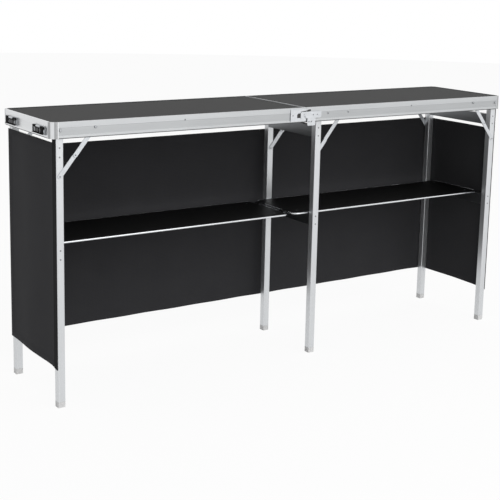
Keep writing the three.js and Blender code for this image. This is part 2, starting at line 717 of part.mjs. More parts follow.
makeBoards();
makeLongRails();
makeEndRails();
makeCorners();
makeSeam();
frames.forEach(makeFrame);
makeBrackets();
const shelfEnd = endLegX + SHELF_OVERHANG;
makeShelf('left', -shelfEnd, -SHELF_END_GAP, true);
makeShelf('right', SHELF_END_GAP, shelfEnd, false);
makeLatch();
makeClasps();
makeSkirt();

export default bar;
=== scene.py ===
"""Folding portable bar: finishes, cloth skirt, rivets, shelf wire and studio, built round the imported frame.

Metres, +Z up. X runs along the bar, -Y is the open side, and the floor is Z = 0.
"""

import json
import logging
import math
from dataclasses import dataclass, field, replace
from enum import Enum
from typing import Any, Callable, Iterable, Sequence

import bmesh
import bpy
from mathutils import Matrix, Vector, noise


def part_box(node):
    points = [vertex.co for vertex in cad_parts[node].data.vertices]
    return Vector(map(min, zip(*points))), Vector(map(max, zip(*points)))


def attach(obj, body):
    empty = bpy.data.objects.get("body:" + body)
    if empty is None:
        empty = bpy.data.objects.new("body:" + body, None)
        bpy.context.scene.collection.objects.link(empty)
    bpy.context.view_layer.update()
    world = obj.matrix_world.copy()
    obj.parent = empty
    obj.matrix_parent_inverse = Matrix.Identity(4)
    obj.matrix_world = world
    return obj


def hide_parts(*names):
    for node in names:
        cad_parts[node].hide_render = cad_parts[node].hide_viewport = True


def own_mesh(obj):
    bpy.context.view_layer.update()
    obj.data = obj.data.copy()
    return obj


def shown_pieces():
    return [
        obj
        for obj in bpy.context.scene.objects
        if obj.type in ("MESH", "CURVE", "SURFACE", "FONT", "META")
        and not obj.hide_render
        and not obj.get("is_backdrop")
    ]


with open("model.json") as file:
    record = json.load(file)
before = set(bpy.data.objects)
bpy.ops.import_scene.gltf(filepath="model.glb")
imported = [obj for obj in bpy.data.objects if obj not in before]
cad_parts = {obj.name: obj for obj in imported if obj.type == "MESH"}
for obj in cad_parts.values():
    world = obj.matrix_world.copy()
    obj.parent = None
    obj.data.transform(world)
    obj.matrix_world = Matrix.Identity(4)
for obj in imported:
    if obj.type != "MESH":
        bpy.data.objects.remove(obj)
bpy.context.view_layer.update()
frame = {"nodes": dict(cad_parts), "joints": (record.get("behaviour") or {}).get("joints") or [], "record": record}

log = logging.getLogger("portable_bar")

MM = 0.001
WAVE_PHASE = 20.0  # radians that a Wave texture of scale 1 turns through in a metre
SIDES = {"front": -1, "rear": 1}
HALVES = {"left": -1, "right": 1}
FRAMES = ("left", "middle", "right")
BARS = ("upper", "shelf")
LINKS = ("lower", "upper")
KEEPER_PROUD = 2.3 * MM  # from the front rail's face to the face of the keeper plate
CLASP_BASE = 2.0 * MM  # thickness of a clasp's base plate
PLATE_CORNER_STEPS = 4

Point = tuple[float, float, float]
Point2 = tuple[float, float]
Span = tuple[float, float]
Seat = tuple[Point, Point]
Surface = Callable[[float, float], tuple[Vector, Vector]]


class BandBy(Enum):
    """What a rail's bands of tone follow: its height, or the way round a corner."""

    HEIGHT = "height"
    BEND = "bend"


class Grain(Enum):
    """The way an extrusion was drawn, which its fine lines follow."""

    ALONG_X = 0
    ALONG_Y = 1
    ALONG_Z = 2


def linear(code: str) -> tuple[float, float, float, float]:
    """Turn an sRGB hex colour into linear light.

    Args:
        code: Six hex digits.

    Returns:
        Red, green, blue and alpha.
    """
    parts = [int(code[start:start + 2], 16) / 255 for start in (0, 2, 4)]
    red, green, blue = (p / 12.92 if p <= 0.04045 else ((p + 0.055) / 1.055) ** 2.4 for p in parts)
    return red, green, blue, 1.0


def per_metre(size_mm: float) -> float:
    """Texture scale of a pattern whose features are size_mm across."""
    return 1000 / size_mm


def add_node(tree: bpy.types.NodeTree, kind: str, inputs: dict[Any, Any] | None = None,
             **settings: Any) -> bpy.types.Node:
    """Add one node with its settings, values and links.

    Args:
        tree: Tree that takes the node.
        kind: Node type name.
        inputs: Value or output socket for each input, by name or index.
        **settings: Properties of the node itself.

    Returns:
        The new node.
    """
    node = tree.nodes.new(kind)
    for key, value in settings.items():
        setattr(node, key, value)
    for key, value in (inputs or {}).items():
        if isinstance(value, bpy.types.NodeSocket):
            tree.links.new(value, node.inputs[key])
        else:
            node.inputs[key].default_value = value
    return node


def new_object(name: str, data: bpy.types.ID) -> bpy.types.Object:
    """Put a mesh, lamp or camera in the scene as an object at the origin.

    Args:
        name: Name of the object.
        data: Its mesh, lamp or camera.

    Returns:
        The object.
    """
    obj = bpy.data.objects.new(name, data)
    bpy.context.scene.collection.objects.link(obj)
    return obj


def to_object(name: str, shape: bmesh.types.BMesh,
              material: bpy.types.Material | None = None) -> bpy.types.Object:
    """Put an edited mesh in the scene, and free it.

    Args:
        name: Name of the object.
        shape: The edited mesh.
        material: Its finish, if it has one.

    Returns:
        The object.
    """
    mesh = bpy.data.meshes.new(name)
    shape.to_mesh(mesh)
    shape.free()
    if material is not None:
        mesh.materials.append(material)
    return new_object(name, mesh)


def new_line(name: str, spots: Sequence[Vector], closed: bool = False) -> bpy.types.Object:
    """Put a line of edges in the scene.

    Args:
        name: Name of the object.
        spots: Points of the line.
        closed: Whether its end joins its start.

    Returns:
        The object.
    """
    count = len(spots)
    mesh = bpy.data.meshes.new(name)
    mesh.from_pydata(spots, [(i, (i + 1) % count) for i in range(count if closed else count - 1)], [])
    return new_object(name, mesh)


def bake_modifiers(obj: bpy.types.Object) -> None:
    """Replace an object's mesh by the result of its modifiers, and drop them.

    Args:
        obj: The object.
    """
    graph = bpy.context.evaluated_depsgraph_get()
    mesh = bpy.data.meshes.new_from_object(obj.evaluated_get(graph), depsgraph=graph)
    source = obj.data
    obj.modifiers.clear()
    obj.data = mesh
    bpy.data.meshes.remove(source)
    mesh.name = obj.name


def new_tree(name: str, inputs: dict[str, str]) -> tuple[bpy.types.NodeTree, bpy.types.Node]:
    """Start a Geometry Nodes tree that takes a geometry and named values, and gives a geometry.

    Args:
        name: Name of the tree.
        inputs: Kind of each value, such as Float or Material, by its name.

    Returns:
        The tree and its input node.
    """
    tree = bpy.data.node_groups.new(name, "GeometryNodeTree")
    for label, kind in {"Geometry": "Geometry", **inputs}.items():
        tree.interface.new_socket(label, in_out="INPUT", socket_type=f"NodeSocket{kind}")
    tree.interface.new_socket("Geometry", in_out="OUTPUT", socket_type="NodeSocketGeometry")
    return tree, add_node(tree, "NodeGroupInput")


def end_tree(tree: bpy.types.NodeTree, geometry: bpy.types.NodeSocket, material: bpy.types.NodeSocket,
             spots: dict[str, bpy.types.NodeSocket] | None = None) -> None:
    """End a Geometry Nodes tree: real instances, shaded smooth, with their material set.

    Args:
        tree: The tree.
        geometry: What it has made.
        material: The material of it all.
        spots: Another material for some faces, which are named by an attribute.
    """
    real = add_node(tree, "GeometryNodeRealizeInstances", {"Geometry": geometry})
    smooth = add_node(tree, "GeometryNodeSetShadeSmooth", {"Geometry": real.outputs[0]})
    last = add_node(tree, "GeometryNodeSetMaterial", {"Geometry": smooth.outputs[0], "Material": material})
    for name, other in (spots or {}).items():
        chosen = add_node(tree, "GeometryNodeInputNamedAttribute", {"Name": name}, data_type="BOOLEAN")
        last = add_node(tree, "GeometryNodeSetMaterial", {
            "Geometry": last.outputs[0], "Selection": chosen.outputs[0], "Material": other})
    add_node(tree, "NodeGroupOutput", {"Geometry": last.outputs[0]})


def grow(piece: bpy.types.Object, tree: bpy.types.NodeTree, values: dict[str, Any]) -> None:
    """Run a Geometry Nodes tree on a piece, and keep the plain mesh that it gives.

    Args:
        piece: Object whose mesh goes into the tree.
        tree: The tree.
        values: Value of each named input, which is set by the identifier of its socket.
    """
    modifier = piece.modifiers.new(tree.name, "NODES")
    modifier.node_group = tree
    for socket in tree.interface.items_tree:
        if socket.in_out == "INPUT" and socket.name in values:
            modifier[socket.identifier] = values[socket.name]
    bake_modifiers(piece)


# Finishes


@dataclass
class Pattern:
    """What drives a finish: the sockets that mix its colours, lift its skin and sway its roughness."""

    tone: bpy.types.NodeSocket
    height: bpy.types.NodeSocket
    wear: bpy.types.NodeSocket | None = None


@dataclass(frozen=True)
class Finish:
    """A finish: its two colours and gloss, and how far its pattern sways the roughness and lifts the skin."""

    name: str
    colour: str
    second: str
    roughness: float
    metallic: float = 0.0
    gloss: float = 0.5
    sheen: float = 0.0
    sway: float = 0.08
    depth_mm: float = 0.08
    strength: float = 0.3

    def build(self) -> bpy.types.Material:
        """Make the material.

        Returns:
            The new material.
        """
        material = bpy.data.materials.new(self.name)
        material.use_nodes = True
        tree = material.node_tree
        tree.nodes.clear()
        pattern = self.pattern(tree)
        tone = add_node(tree, "ShaderNodeMix", {
            "Factor": pattern.tone, 6: linear(self.colour), 7: linear(self.second)}, data_type="RGBA")
        bump = add_node(tree, "ShaderNodeBump", {
            "Height": pattern.height, "Distance": self.depth_mm * MM, "Strength": self.strength})
        shader = add_node(tree, "ShaderNodeBsdfPrincipled", {
            "Base Color": self.shade(tree, tone.outputs[2]), "Metallic": self.metallic,
            "Roughness": self.roughness, "Specular IOR Level": self.gloss, "Sheen Weight": self.sheen,
            "Normal": bump.outputs[0]})
        if pattern.wear is not None:
            span = add_node(tree, "ShaderNodeMapRange", {
                "Value": pattern.wear, "To Min": self.roughness - self.sway,
                "To Max": self.roughness + self.sway})
            tree.links.new(span.outputs[0], shader.inputs["Roughness"])
        add_node(tree, "ShaderNodeOutputMaterial", {"Surface": shader.outputs[0]})
        return material

    def pattern(self, tree: bpy.types.NodeTree) -> Pattern:
        """The surface's own pattern, which each finish gives."""
        raise NotImplementedError

    def shade(self, tree: bpy.types.NodeTree, colour: bpy.types.NodeSocket) -> bpy.types.NodeSocket:
        """Leave the mixed colour as it is, where a finish has nothing to add."""
        return colour


@dataclass(frozen=True)
class Band:
    """A darker band of an extrusion, painted shade and painted reflection: where it starts and ends, its share of
    the tone, and its soft edge.
    """

    start: float
    end: float
    tone: float
    edge: float = 0.0006


# A rail's bands are heights above the floor. A corner's are shares of the way from its middle to a rail.
# The bands are painted light: the rails' middle band is painted shade on the profile, the thin dark line under a
# rail is the painted shadow and reflection of its lower edge, and a corner's dark stripes are painted reflections
# on its rounded face.
UNDER_EDGE_SHADOW = Band(0.8380, 0.8424, 0.14)
RAIL_BANDS = (Band(0.8495, 0.8725, 0.84), UNDER_EDGE_SHADOW)
END_BANDS = (Band(0.8495, 0.8725, 0.96), UNDER_EDGE_SHADOW)
CORNER_BANDS = (Band(0.32, 0.88, 0.48, 0.05),)


@dataclass(frozen=True)
class DrawnAluminium(Finish):
    """Extruded aluminium, mill-finished or anodised: fine die lines along its length and a soft broad sheen.

    Real die lines are a few tenths of a millimetre apart. They are drawn coarser, so that they show.
    """

    roughness: float = 0.34
    metallic: float = 1.0
    sway: float = 0.10
    depth_mm: float = 0.05
    strength: float = 0.25
    grain: Grain = Grain.ALONG_X
    line_mm: float = 1.6
    run_mm: float = 420.0
    cloud_mm: float = 180.0
    bands: tuple[Band, ...] = ()
    band_by: BandBy = BandBy.HEIGHT

    def pattern(self, tree: bpy.types.NodeTree) -> Pattern:
        """Stretch a noise along the grain for the die lines, with broad clouds over it.

        Args:
            tree: The material's tree.

        Returns:
            The pattern.
        """
        place = add_node(tree, "ShaderNodeTexCoord").outputs["Object"]
        scale = [per_metre(self.line_mm)] * 3
        scale[self.grain.value] = per_metre(self.run_mm)
        lay = add_node(tree, "ShaderNodeMapping", {"Vector": place, "Scale": scale})
        lines = add_node(tree, "ShaderNodeTexNoise", {
            "Vector": lay.outputs[0], "Scale": 1.0, "Detail": 3.0, "Roughness": 0.6})
        clouds = add_node(tree, "ShaderNodeTexNoise", {
            "Vector": place, "Scale": per_metre(self.cloud_mm), "Detail": 2.0})
        blend = add_node(tree, "ShaderNodeMix", {
            "Factor": 0.5, 2: lines.outputs[0], 3: clouds.outputs[0]}, data_type="FLOAT")
        return Pattern(blend.outputs[0], lines.outputs[0], lines.outputs[0])

    def shade(self, tree: bpy.types.NodeTree, colour: bpy.types.NodeSocket) -> bpy.types.NodeSocket:
        """Darken the extrusion's bands with painted shade and painted reflection.

        Args:
            tree: The material's tree.
            colour: The plain colour.

        Returns:
            The colour with its bands.
        """
        if not self.bands:
            return colour
        if self.band_by is BandBy.HEIGHT:
            place = add_node(tree, "ShaderNodeTexCoord").outputs["Object"]
            value = add_node(tree, "ShaderNodeSeparateXYZ", {0: place}).outputs[2]
        else:
            bend = add_node(tree, "ShaderNodeAttribute", attribute_name="bend").outputs["Fac"]
            value = add_node(tree, "ShaderNodeMath", {0: bend}, operation="ABSOLUTE").outputs[0]
        for band in self.bands:
            steps = [add_node(tree, "ShaderNodeMapRange", {
                "Value": value, "From Min": edge - band.edge, "From Max": edge + band.edge})
                for edge in (band.start, band.end)]
            inside = add_node(tree, "ShaderNodeMath", {0: steps[0].outputs[0], 1: steps[1].outputs[0]},
                              operation="SUBTRACT")
            tone = add_node(tree, "ShaderNodeMapRange", {
                "Value": inside.outputs[0], "To Min": 1.0, "To Max": band.tone})
            colour = add_node(tree, "ShaderNodeVectorMath", {0: colour, "Scale": tone.outputs[0]},
                              operation="SCALE").outputs[0]
        return colour


@dataclass(frozen=True)
class PlatedSteel(Finish):
    """Bright metal, pressed or drawn: small crystal patches, a little duller where it is scuffed."""

    metallic: float = 1.0
    sway: float = 0.12
    patch_mm: float = 7.0
    scuff_mm: float = 40.0

    def pattern(self, tree: bpy.types.NodeTree) -> Pattern:
        """Mix crystal patches with scuffs.

        Args:
            tree: The material's tree.

        Returns:
            The pattern.
        """
        place = add_node(tree, "ShaderNodeTexCoord").outputs["Object"]
        patches = add_node(tree, "ShaderNodeTexVoronoi", {"Vector": place, "Scale": per_metre(self.patch_mm)})
        scuffs = add_node(tree, "ShaderNodeTexNoise", {
            "Vector": place, "Scale": per_metre(self.scuff_mm), "Detail": 6.0})
        blend = add_node(tree, "ShaderNodeMix", {
            "Factor": 0.6, 2: patches.outputs["Distance"], 3: scuffs.outputs[0]}, data_type="FLOAT")
        return Pattern(blend.outputs[0], scuffs.outputs[0], scuffs.outputs[0])


@dataclass(frozen=True)
class Laminate(Finish):
    """Melamine laminate on fibreboard: an even colour with faint long streaks and a fine pebbled skin.

    A real pebble is about half a millimetre. It is drawn coarser, so that it shows.
    """

    sway: float = 0.06
    depth_mm: float = 0.12
    strength: float = 0.35
    streak_mm: float = 9.0
    run_mm: float = 260.0
    pebble_mm: float = 2.2

    def pattern(self, tree: bpy.types.NodeTree) -> Pattern:
        """Lay streaks along X under a pebbled skin.

        Args:
            tree: The material's tree.

        Returns:
            The pattern.
        """
        place = add_node(tree, "ShaderNodeTexCoord").outputs["Object"]
        across = per_metre(self.streak_mm)
        lay = add_node(tree, "ShaderNodeMapping", {
            "Vector": place, "Scale": (per_metre(self.run_mm), across, across)})
        streaks = add_node(tree, "ShaderNodeTexNoise", {
            "Vector": lay.outputs[0], "Scale": 1.0, "Detail": 5.0, "Roughness": 0.65})
        pebbles = add_node(tree, "ShaderNodeTexNoise", {
            "Vector": place, "Scale": per_metre(self.pebble_mm), "Detail": 2.0})
        return Pattern(streaks.outputs[0], pebbles.outputs[0], streaks.outputs[0])


@dataclass(frozen=True)
class MattSkin(Finish):
    """A matt skin, moulded, coated or spun: finely pitted and slightly mottled.

    Real pits are about a tenth of a millimetre. They are drawn coarser, so that they show in a close view.
    """

    grit_mm: float = 0.9
    mottle_mm: float = 14.0

    def pattern(self, tree: bpy.types.NodeTree) -> Pattern:
        """Pit the skin and mottle its colour.

        Args:
            tree: The material's tree.

        Returns:
            The pattern.
        """
        place = add_node(tree, "ShaderNodeTexCoord").outputs["Object"]
        grit = add_node(tree, "ShaderNodeTexNoise", {
            "Vector": place, "Scale": per_metre(self.grit_mm), "Detail": 2.0})
        mottle = add_node(tree, "ShaderNodeTexNoise", {
            "Vector": place, "Scale": per_metre(self.mottle_mm), "Detail": 3.0})
        return Pattern(mottle.outputs[0], grit.outputs[0], mottle.outputs[0])


@dataclass(frozen=True)
class WovenCloth(Finish):
    """Plain-woven polyester: threads over and under each other, a soft sheen, and slight shade changes.

    The real thread is about half a millimetre. It is drawn coarser, so that it shows in a close view.
    """

    sheen: float = 0.04
    depth_mm: float = 0.25
    strength: float = 0.5
    thread_mm: float = 2.5
    shade_mm: float = 120.0

    def pattern(self, tree: bpy.types.NodeTree) -> Pattern:
        """Cross two thread waves on the cloth's own UV map.

        Args:
            tree: The material's tree.

        Returns:
            The pattern.
        """
        place = add_node(tree, "ShaderNodeUVMap", uv_map="cloth").outputs[0]
        scale = per_metre(2 * self.thread_mm) * math.tau / WAVE_PHASE
        waves = [add_node(tree, "ShaderNodeTexWave", {
            "Vector": place, "Scale": scale, "Distortion": 0.6, "Detail": 1.0, "Detail Scale": 2.0},
            wave_type="BANDS", bands_direction=direction) for direction in ("X", "Y")]
        weave = add_node(tree, "ShaderNodeMath", {0: waves[0].outputs["Fac"], 1: waves[1].outputs["Fac"]},
                         operation="MULTIPLY")
        shade = add_node(tree, "ShaderNodeTexNoise", {
            "Vector": place, "Scale": per_metre(self.shade_mm), "Detail": 4.0, "Roughness": 0.6})
        blend = add_node(tree, "ShaderNodeMix", {
            "Factor": 0.55, 2: weave.outputs[0], 3: shade.outputs[0]}, data_type="FLOAT")
        return Pattern(blend.outputs[0], weave.outputs[0])


@dataclass(frozen=True)
class Webbing(WovenCloth):
    """Woven polyester tape: a closer weave than the cloth's, denser and darker."""

    sheen: float = 0.02
    thread_mm: float = 1.2
    shade_mm: float = 60.0


class FinishSet:
    """Every material of the bar, made once."""

    def __init__(self) -> None:
        """Make the materials."""
        # Mill-finished extrusions: an even silver, greyer on the long rails than on the end rails and corners.
        rail = ("b2b4b6", "c6c8c9")
        paler = ("d0d2d4", "e9eaeb")
        self.rail = DrawnAluminium("mill_aluminium_rail", *rail, grain=Grain.ALONG_X,
                                   bands=RAIL_BANDS).build()
        self.rail_end = DrawnAluminium("mill_aluminium_end", *paler, grain=Grain.ALONG_Y,
                                       bands=END_BANDS).build()
        self.seam = DrawnAluminium("mill_aluminium_seam", *rail, grain=Grain.ALONG_Y).build()
        self.corner = DrawnAluminium("mill_aluminium_corner", *paler, grain=Grain.ALONG_Z, bands=CORNER_BANDS,
                                     band_by=BandBy.BEND).build()
        # Clear-anodised tube: its matt skin scatters some light, so that no face of a leg goes black.
        self.leg = DrawnAluminium("anodised_leg_tube", "c4c6c8", "d8dadc", metallic=0.82,
                                  grain=Grain.ALONG_Z).build()
        # Cross bars: aluminium given a dark grey, painted shade for the shadow that they sit in under the top and
        # the shelves.
        self.bar = DrawnAluminium("aluminium_bar_painted_shade", "6f7173", "858789", grain=Grain.ALONG_Y).build()
        # Zinc-plated pressings are bright and a little cloudy; drawn wire is brighter and smoother.
        self.steel = PlatedSteel("zinc_plated_steel", "b4b7ba", "d0d2d5", roughness=0.48).build()
        self.wire = PlatedSteel("bright_plated_wire", "c4c6c9", "dadcde", roughness=0.22).build()
        self.rivet = PlatedSteel("aluminium_rivet", "85878a", "a4a6a8", roughness=0.4).build()
        # Black for the rivets' holes and for the latch's slot and gaps: painted shade.
        self.painted_shade = MattSkin("painted_shade_black", "1c1c1d", "29292a", roughness=0.6).build()
        # The top's laminate is matt charcoal; the shelves' is a deep black with a soft gloss.
        self.top = Laminate("charcoal_laminate", "323232", "3c3c3c", roughness=0.78, gloss=0.2).build()
        self.shelf = Laminate("black_laminate", "020202", "050505", roughness=0.5, gloss=0.12, pebble_mm=3.0,
                              depth_mm=0.06).build()
        # Moulded and coated pieces: pale grey feet, black clasps with a greyer boss, and a black bead at the
        # boards' edges that is painted shadow.
        self.foot = MattSkin("grey_polypropylene", "cbcbcb", "d6d6d6", roughness=0.45).build()
        self.clasp = MattSkin("black_coated_steel", "080809", "101011", roughness=0.7, gloss=0.08).build()
        self.clasp_boss = MattSkin("grey_coated_steel", "464648", "58585a", roughness=0.6, gloss=0.2).build()
        # Painted shadow: the black bead stands for the shadow in the gap between each top board and its rails.
        self.edge_shadow = MattSkin("painted_shadow_bead_black", "0b0b0c", "121213", roughness=0.6, gloss=0.3).build()
        # The skirt: dull black cloth, a closer and blacker tape on its edges, and thread a shade paler.
        self.cloth = WovenCloth("black_polyester_cloth", "2d2d2f", "38383a", roughness=0.9, gloss=0.1).build()
        self.tape = Webbing("black_polyester_tape", "101011", "171718", roughness=0.9, gloss=0.15).build()
        self.thread = MattSkin("charcoal_thread", "303032", "3c3c3e", roughness=0.8, gloss=0.2).build()


# Studio


@dataclass
class Studio:
    """Camera, pale floor and soft light."""

    eye: Point = (-2.236, -3.210, 1.342)
    yaw: float = 33.71
    pitch: float = 10.64
    roll: float = 1.28
    focal_px: float = 1118.0
    frame_px: float = 500.0
    shift: float = 0.14
    floor_radius: float = 14.0
    floor_sides: int = 96
    floor_tint: str = "f4f4f4"
    floor_glow: float = 0.93
    world_level: float = 0.52
    key_energy: float = 165.0
    key_place: Point = (0.2, -4.6, 3.2)
    key_size: float = 5.5
    fill_energy: float = 30.0
    fill_place: Point = (3.6, -2.8, 2.6)
    fill_size: float = 4.0
    lamp_target: Point = (0.0, 0.0, 0.5)

    def build(self) -> None:
        """Make the camera, floor, lamps and world."""
        bpy.context.scene.view_settings.view_transform = "Standard"
        self.camera()
        self.floor()
        self.lamp("key_light", self.key_place, self.key_size, self.key_energy)
        self.lamp("fill_light", self.fill_place, self.fill_size, self.fill_energy)
        self.world()

    def camera(self) -> None:
        """Aim the camera as the photograph was taken."""
        data = bpy.data.cameras.new("camera")
        data.lens = self.focal_px / self.frame_px * data.sensor_width
        data.shift_y = -self.shift
        yaw, pitch, roll = (math.radians(angle) for angle in (self.yaw, self.pitch, self.roll))
        forward = Vector((math.sin(yaw) * math.cos(pitch), math.cos(yaw) * math.cos(pitch), -math.sin(pitch)))
        right = Vector((math.cos(yaw), -math.sin(yaw), 0.0))
        up = right.cross(forward)
        level = Matrix((right, up, -forward)).transposed().to_4x4()
        obj = new_object("camera", data)
        obj.matrix_world = Matrix.Translation(self.eye) @ level @ Matrix.Rotation(roll, 4, "Z")
        bpy.context.scene.camera = obj

    def floor(self) -> None:
        """Lay a pale round floor that fades to white for the camera and keeps a soft shadow."""
        material = bpy.data.materials.new("studio_floor")
        material.use_nodes = True
        tree = material.node_tree
        tree.nodes.clear()
        matt = add_node(tree, "ShaderNodeBsdfDiffuse", {"Color": linear(self.floor_tint)})
        glow = add_node(tree, "ShaderNodeEmission", {"Color": (1, 1, 1, 1), "Strength": 1.0})
        share = add_node(tree, "ShaderNodeMath", {0: self.seen(tree), 1: self.floor_glow},
                         operation="MULTIPLY")
        mix = add_node(tree, "ShaderNodeMixShader", {
            0: share.outputs[0], 1: matt.outputs[0], 2: glow.outputs[0]})
        add_node(tree, "ShaderNodeOutputMaterial", {"Surface": mix.outputs[0]})
        shape = bmesh.new()
        bmesh.ops.create_circle(shape, cap_ends=True, segments=self.floor_sides, radius=self.floor_radius)
        to_object("floor", shape, material)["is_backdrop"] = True

    @staticmethod
    def seen(tree: bpy.types.NodeTree) -> bpy.types.NodeSocket:
        """Tell rays that see the backdrop, directly or in metal, from those that only carry light.

        Args:
            tree: Tree that asks.

        Returns:
            A socket that is 1 for camera, glossy and transmission rays.
        """
        path = add_node(tree, "ShaderNodeLightPath")
        first = add_node(tree, "ShaderNodeMath", {
            0: path.outputs["Is Camera Ray"], 1: path.outputs["Is Glossy Ray"]}, operation="MAXIMUM")
        both = add_node(tree, "ShaderNodeMath", {
            0: first.outputs[0], 1: path.outputs["Is Transmission Ray"]}, operation="MAXIMUM")
        return both.outputs[0]

    def lamp(self, name: str, place: Point, size: float, energy: float) -> None:
        """Hang one square soft lamp that faces the middle of the bar.

        Args:
            name: Name of the lamp.
            place: Where it hangs.
            size: Its side.
            energy: Its power in watts.
        """
        data = bpy.data.lights.new(name, "AREA")
        data.size = size
        data.energy = energy
        obj = new_object(name, data)
        obj.location = place
        aim = Vector(self.lamp_target) - Vector(place)
        obj.rotation_euler = aim.to_track_quat("-Z", "Y").to_euler()

    def world(self) -> None:
        """Surround the bar with white that lights it at a plain level."""
        world = bpy.data.worlds.new("studio")
        bpy.context.scene.world = world
        world.use_nodes = True
        tree = world.node_tree
        tree.nodes.clear()
        level = add_node(tree, "ShaderNodeMix", {
            "Factor": self.seen(tree), 2: self.world_level, 3: 1.0}, data_type="FLOAT")
        sky = add_node(tree, "ShaderNodeBackground", {"Color": (1, 1, 1, 1), "Strength": level.outputs[0]})
        add_node(tree, "ShaderNodeOutputWorld", {"Surface": sky.outputs[0]})


# Metalwork and boards


@dataclass
class Metalwork:
    """The rigid pieces of the frame, with their edges broken and a finish for each."""

    finishes: FinishSet
    weld_gap: float = 0.005 * MM
    flat_angle: float = 0.6
    crisp_angle: float = 38.0
    edge_segments: int = 2

    def build(self) -> None:
        """Dress every rigid node."""
        for half in HALVES:
            self.dress(f"top_board_{half}", "top", self.finishes.top, edge_mm=0.5)
            self.dress(f"end_rail_{half}", "top", self.finishes.rail_end, edge_mm=0.35)
            self.dress(f"seam_rail_{half}", "top", self.finishes.seam, edge_mm=0.3)
            self.dress(f"{half}_shelf_board", f"{half}_shelf", self.finishes.shelf, edge_mm=0.8)
            for side in SIDES:
                self.dress(f"{side}_rail_{half}", "top", self.finishes.rail, edge_mm=0.35)
                self.mark_bend(self.dress(f"corner_{side}_{half}", "top", self.finishes.corner, edge_mm=0.5))
        self.dress("hinge_pin", "top", self.finishes.steel, edge_mm=0.3)
        self.dress("latch_keeper", "top", self.finishes.steel, edge_mm=0.3)
        self.dress("latch_lever", "latch", self.finishes.steel, edge_mm=0.4)
        for side in SIDES:
            self.dress(f"clasp_base_{side}", "top", self.finishes.steel, edge_mm=0.3, slot="steel_hardware")
            self.dress(f"middle_bracket_{side}", "top", self.finishes.steel, edge_mm=0.5)
        for name in FRAMES:
            self.leg_frame(name)

    @staticmethod
    def mark_bend(corner: bpy.types.Object) -> None:
        """Note how far round a corner piece each point is: -1 at the end rail, 1 at the long rail.

        Args:
            corner: The dressed corner piece.
        """
        spots = [v.co for v in corner.data.vertices]
        centre_x = min((v.x for v in spots), key=abs)
        centre_y = min((v.y for v in spots), key=abs)
        bend = corner.data.attributes.new("bend", "FLOAT", "POINT")
        half_bend = math.pi / 4
        bend.data.foreach_set("value", [
            math.atan2(abs(v.y - centre_y), abs(v.x - centre_x)) / half_bend - 1.0 for v in spots])

    def leg_frame(self, name: str) -> None:
        """Dress the tubes, feet and stays of one leg frame.

        Args:
            name: Which leg frame.
        """
        body = f"{name}_leg_frame"
        for level in BARS:
            self.dress(f"{name}_{level}_bar", body, self.finishes.bar, edge_mm=0.8)
        for side in SIDES:
            self.dress(f"{name}_leg_{side}", body, self.finishes.leg, edge_mm=0.3)
            self.dress(f"{name}_foot_{side}", body, self.finishes.foot, edge_mm=1.0)
            for link in LINKS:
                self.dress(f"{name}_{link}_link_{side}", f"{name}_{link}_links", self.finishes.steel,
                           edge_mm=0.4)

    def dress(self, node: str, body: str, material: bpy.types.Material, edge_mm: float,
              slot: str | None = None) -> bpy.types.Object:
        """Copy a node with its sharp edges broken, and let the copy stand for it.

        Args:
            node: CAD node.
            body: Body it rides on.
            material: Its finish.
            edge_mm: Width of the broken edge.
            slot: Material slot of the record. It is not used.

        Returns:
            The dressed piece.
        """
        source = frame["nodes"][node].data
        copy = bpy.data.meshes.new(node)
        copy.from_pydata([v.co[:] for v in source.vertices], [], [p.vertices[:] for p in source.polygons])
        shape = bmesh.new()
        shape.from_mesh(copy)
        bpy.data.meshes.remove(copy)
        bmesh.ops.remove_doubles(shape, verts=shape.verts, dist=self.weld_gap)
        bmesh.ops.dissolve_limit(
            shape, angle_limit=math.radians(self.flat_angle), verts=shape.verts, edges=shape.edges)
        crisp = math.radians(self.crisp_angle)
        sharp = [e for e in shape.edges if e.is_manifold and e.calc_face_angle(0.0) > crisp]
        bmesh.ops.bevel(shape, geom=sharp, offset=edge_mm * MM, segments=self.edge_segments, profile=0.5,
                        affect="EDGES", clamp_overlap=True)
        for face in shape.faces:
            face.smooth = True
        piece = to_object(f"{node}_dressed", shape, material)
        piece.data.set_sharp_from_angle(angle=crisp)
        even = piece.modifiers.new("even_normals", "WEIGHTED_NORMAL")
        even.keep_sharp = True
        bake_modifiers(piece)
        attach(piece, body)
        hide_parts(node)
        return piece

    @staticmethod
    def slot_of(node: str) -> str:
        """The record's material slot of a node."""
        return next(part["material_slot"] for part in frame["record"]["subparts"] if part["node"] == node)


# Clasps and latch


def plates(name: str, body: str, material: bpy.types.Material,
           outlines: Iterable[tuple[Sequence[Vector], Vector]], corner_mm: float) -> None:
    """Make flat pressed plates with rounded corners, as one piece.

    Args:
        name: Name of the piece.
        body: Body it rides on.
        material: Its finish.
        outlines: For each plate, the corners of its back face and the way its thickness goes.
        corner_mm: Radius of the corners.
    """
    shape = bmesh.new()
    for corners, way in outlines:
        back = [shape.verts.new(c) for c in corners]
        front = [shape.verts.new(c + way) for c in corners]
        shape.faces.new(back)
        shape.faces.new(front)
        sides = []
        for index, vertex in enumerate(back):
            ahead = (index + 1) % len(back)
            shape.faces.new((vertex, back[ahead], front[ahead], front[index]))
            sides.append(shape.edges.get((vertex, front[index])))
        bmesh.ops.bevel(shape, geom=sides, offset=corner_mm * MM, segments=PLATE_CORNER_STEPS, profile=0.5,
                        affect="EDGES", clamp_overlap=True)
    bmesh.ops.recalc_face_normals(shape, faces=shape.faces)
    piece = to_object(name, shape, material)
    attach(piece, body)


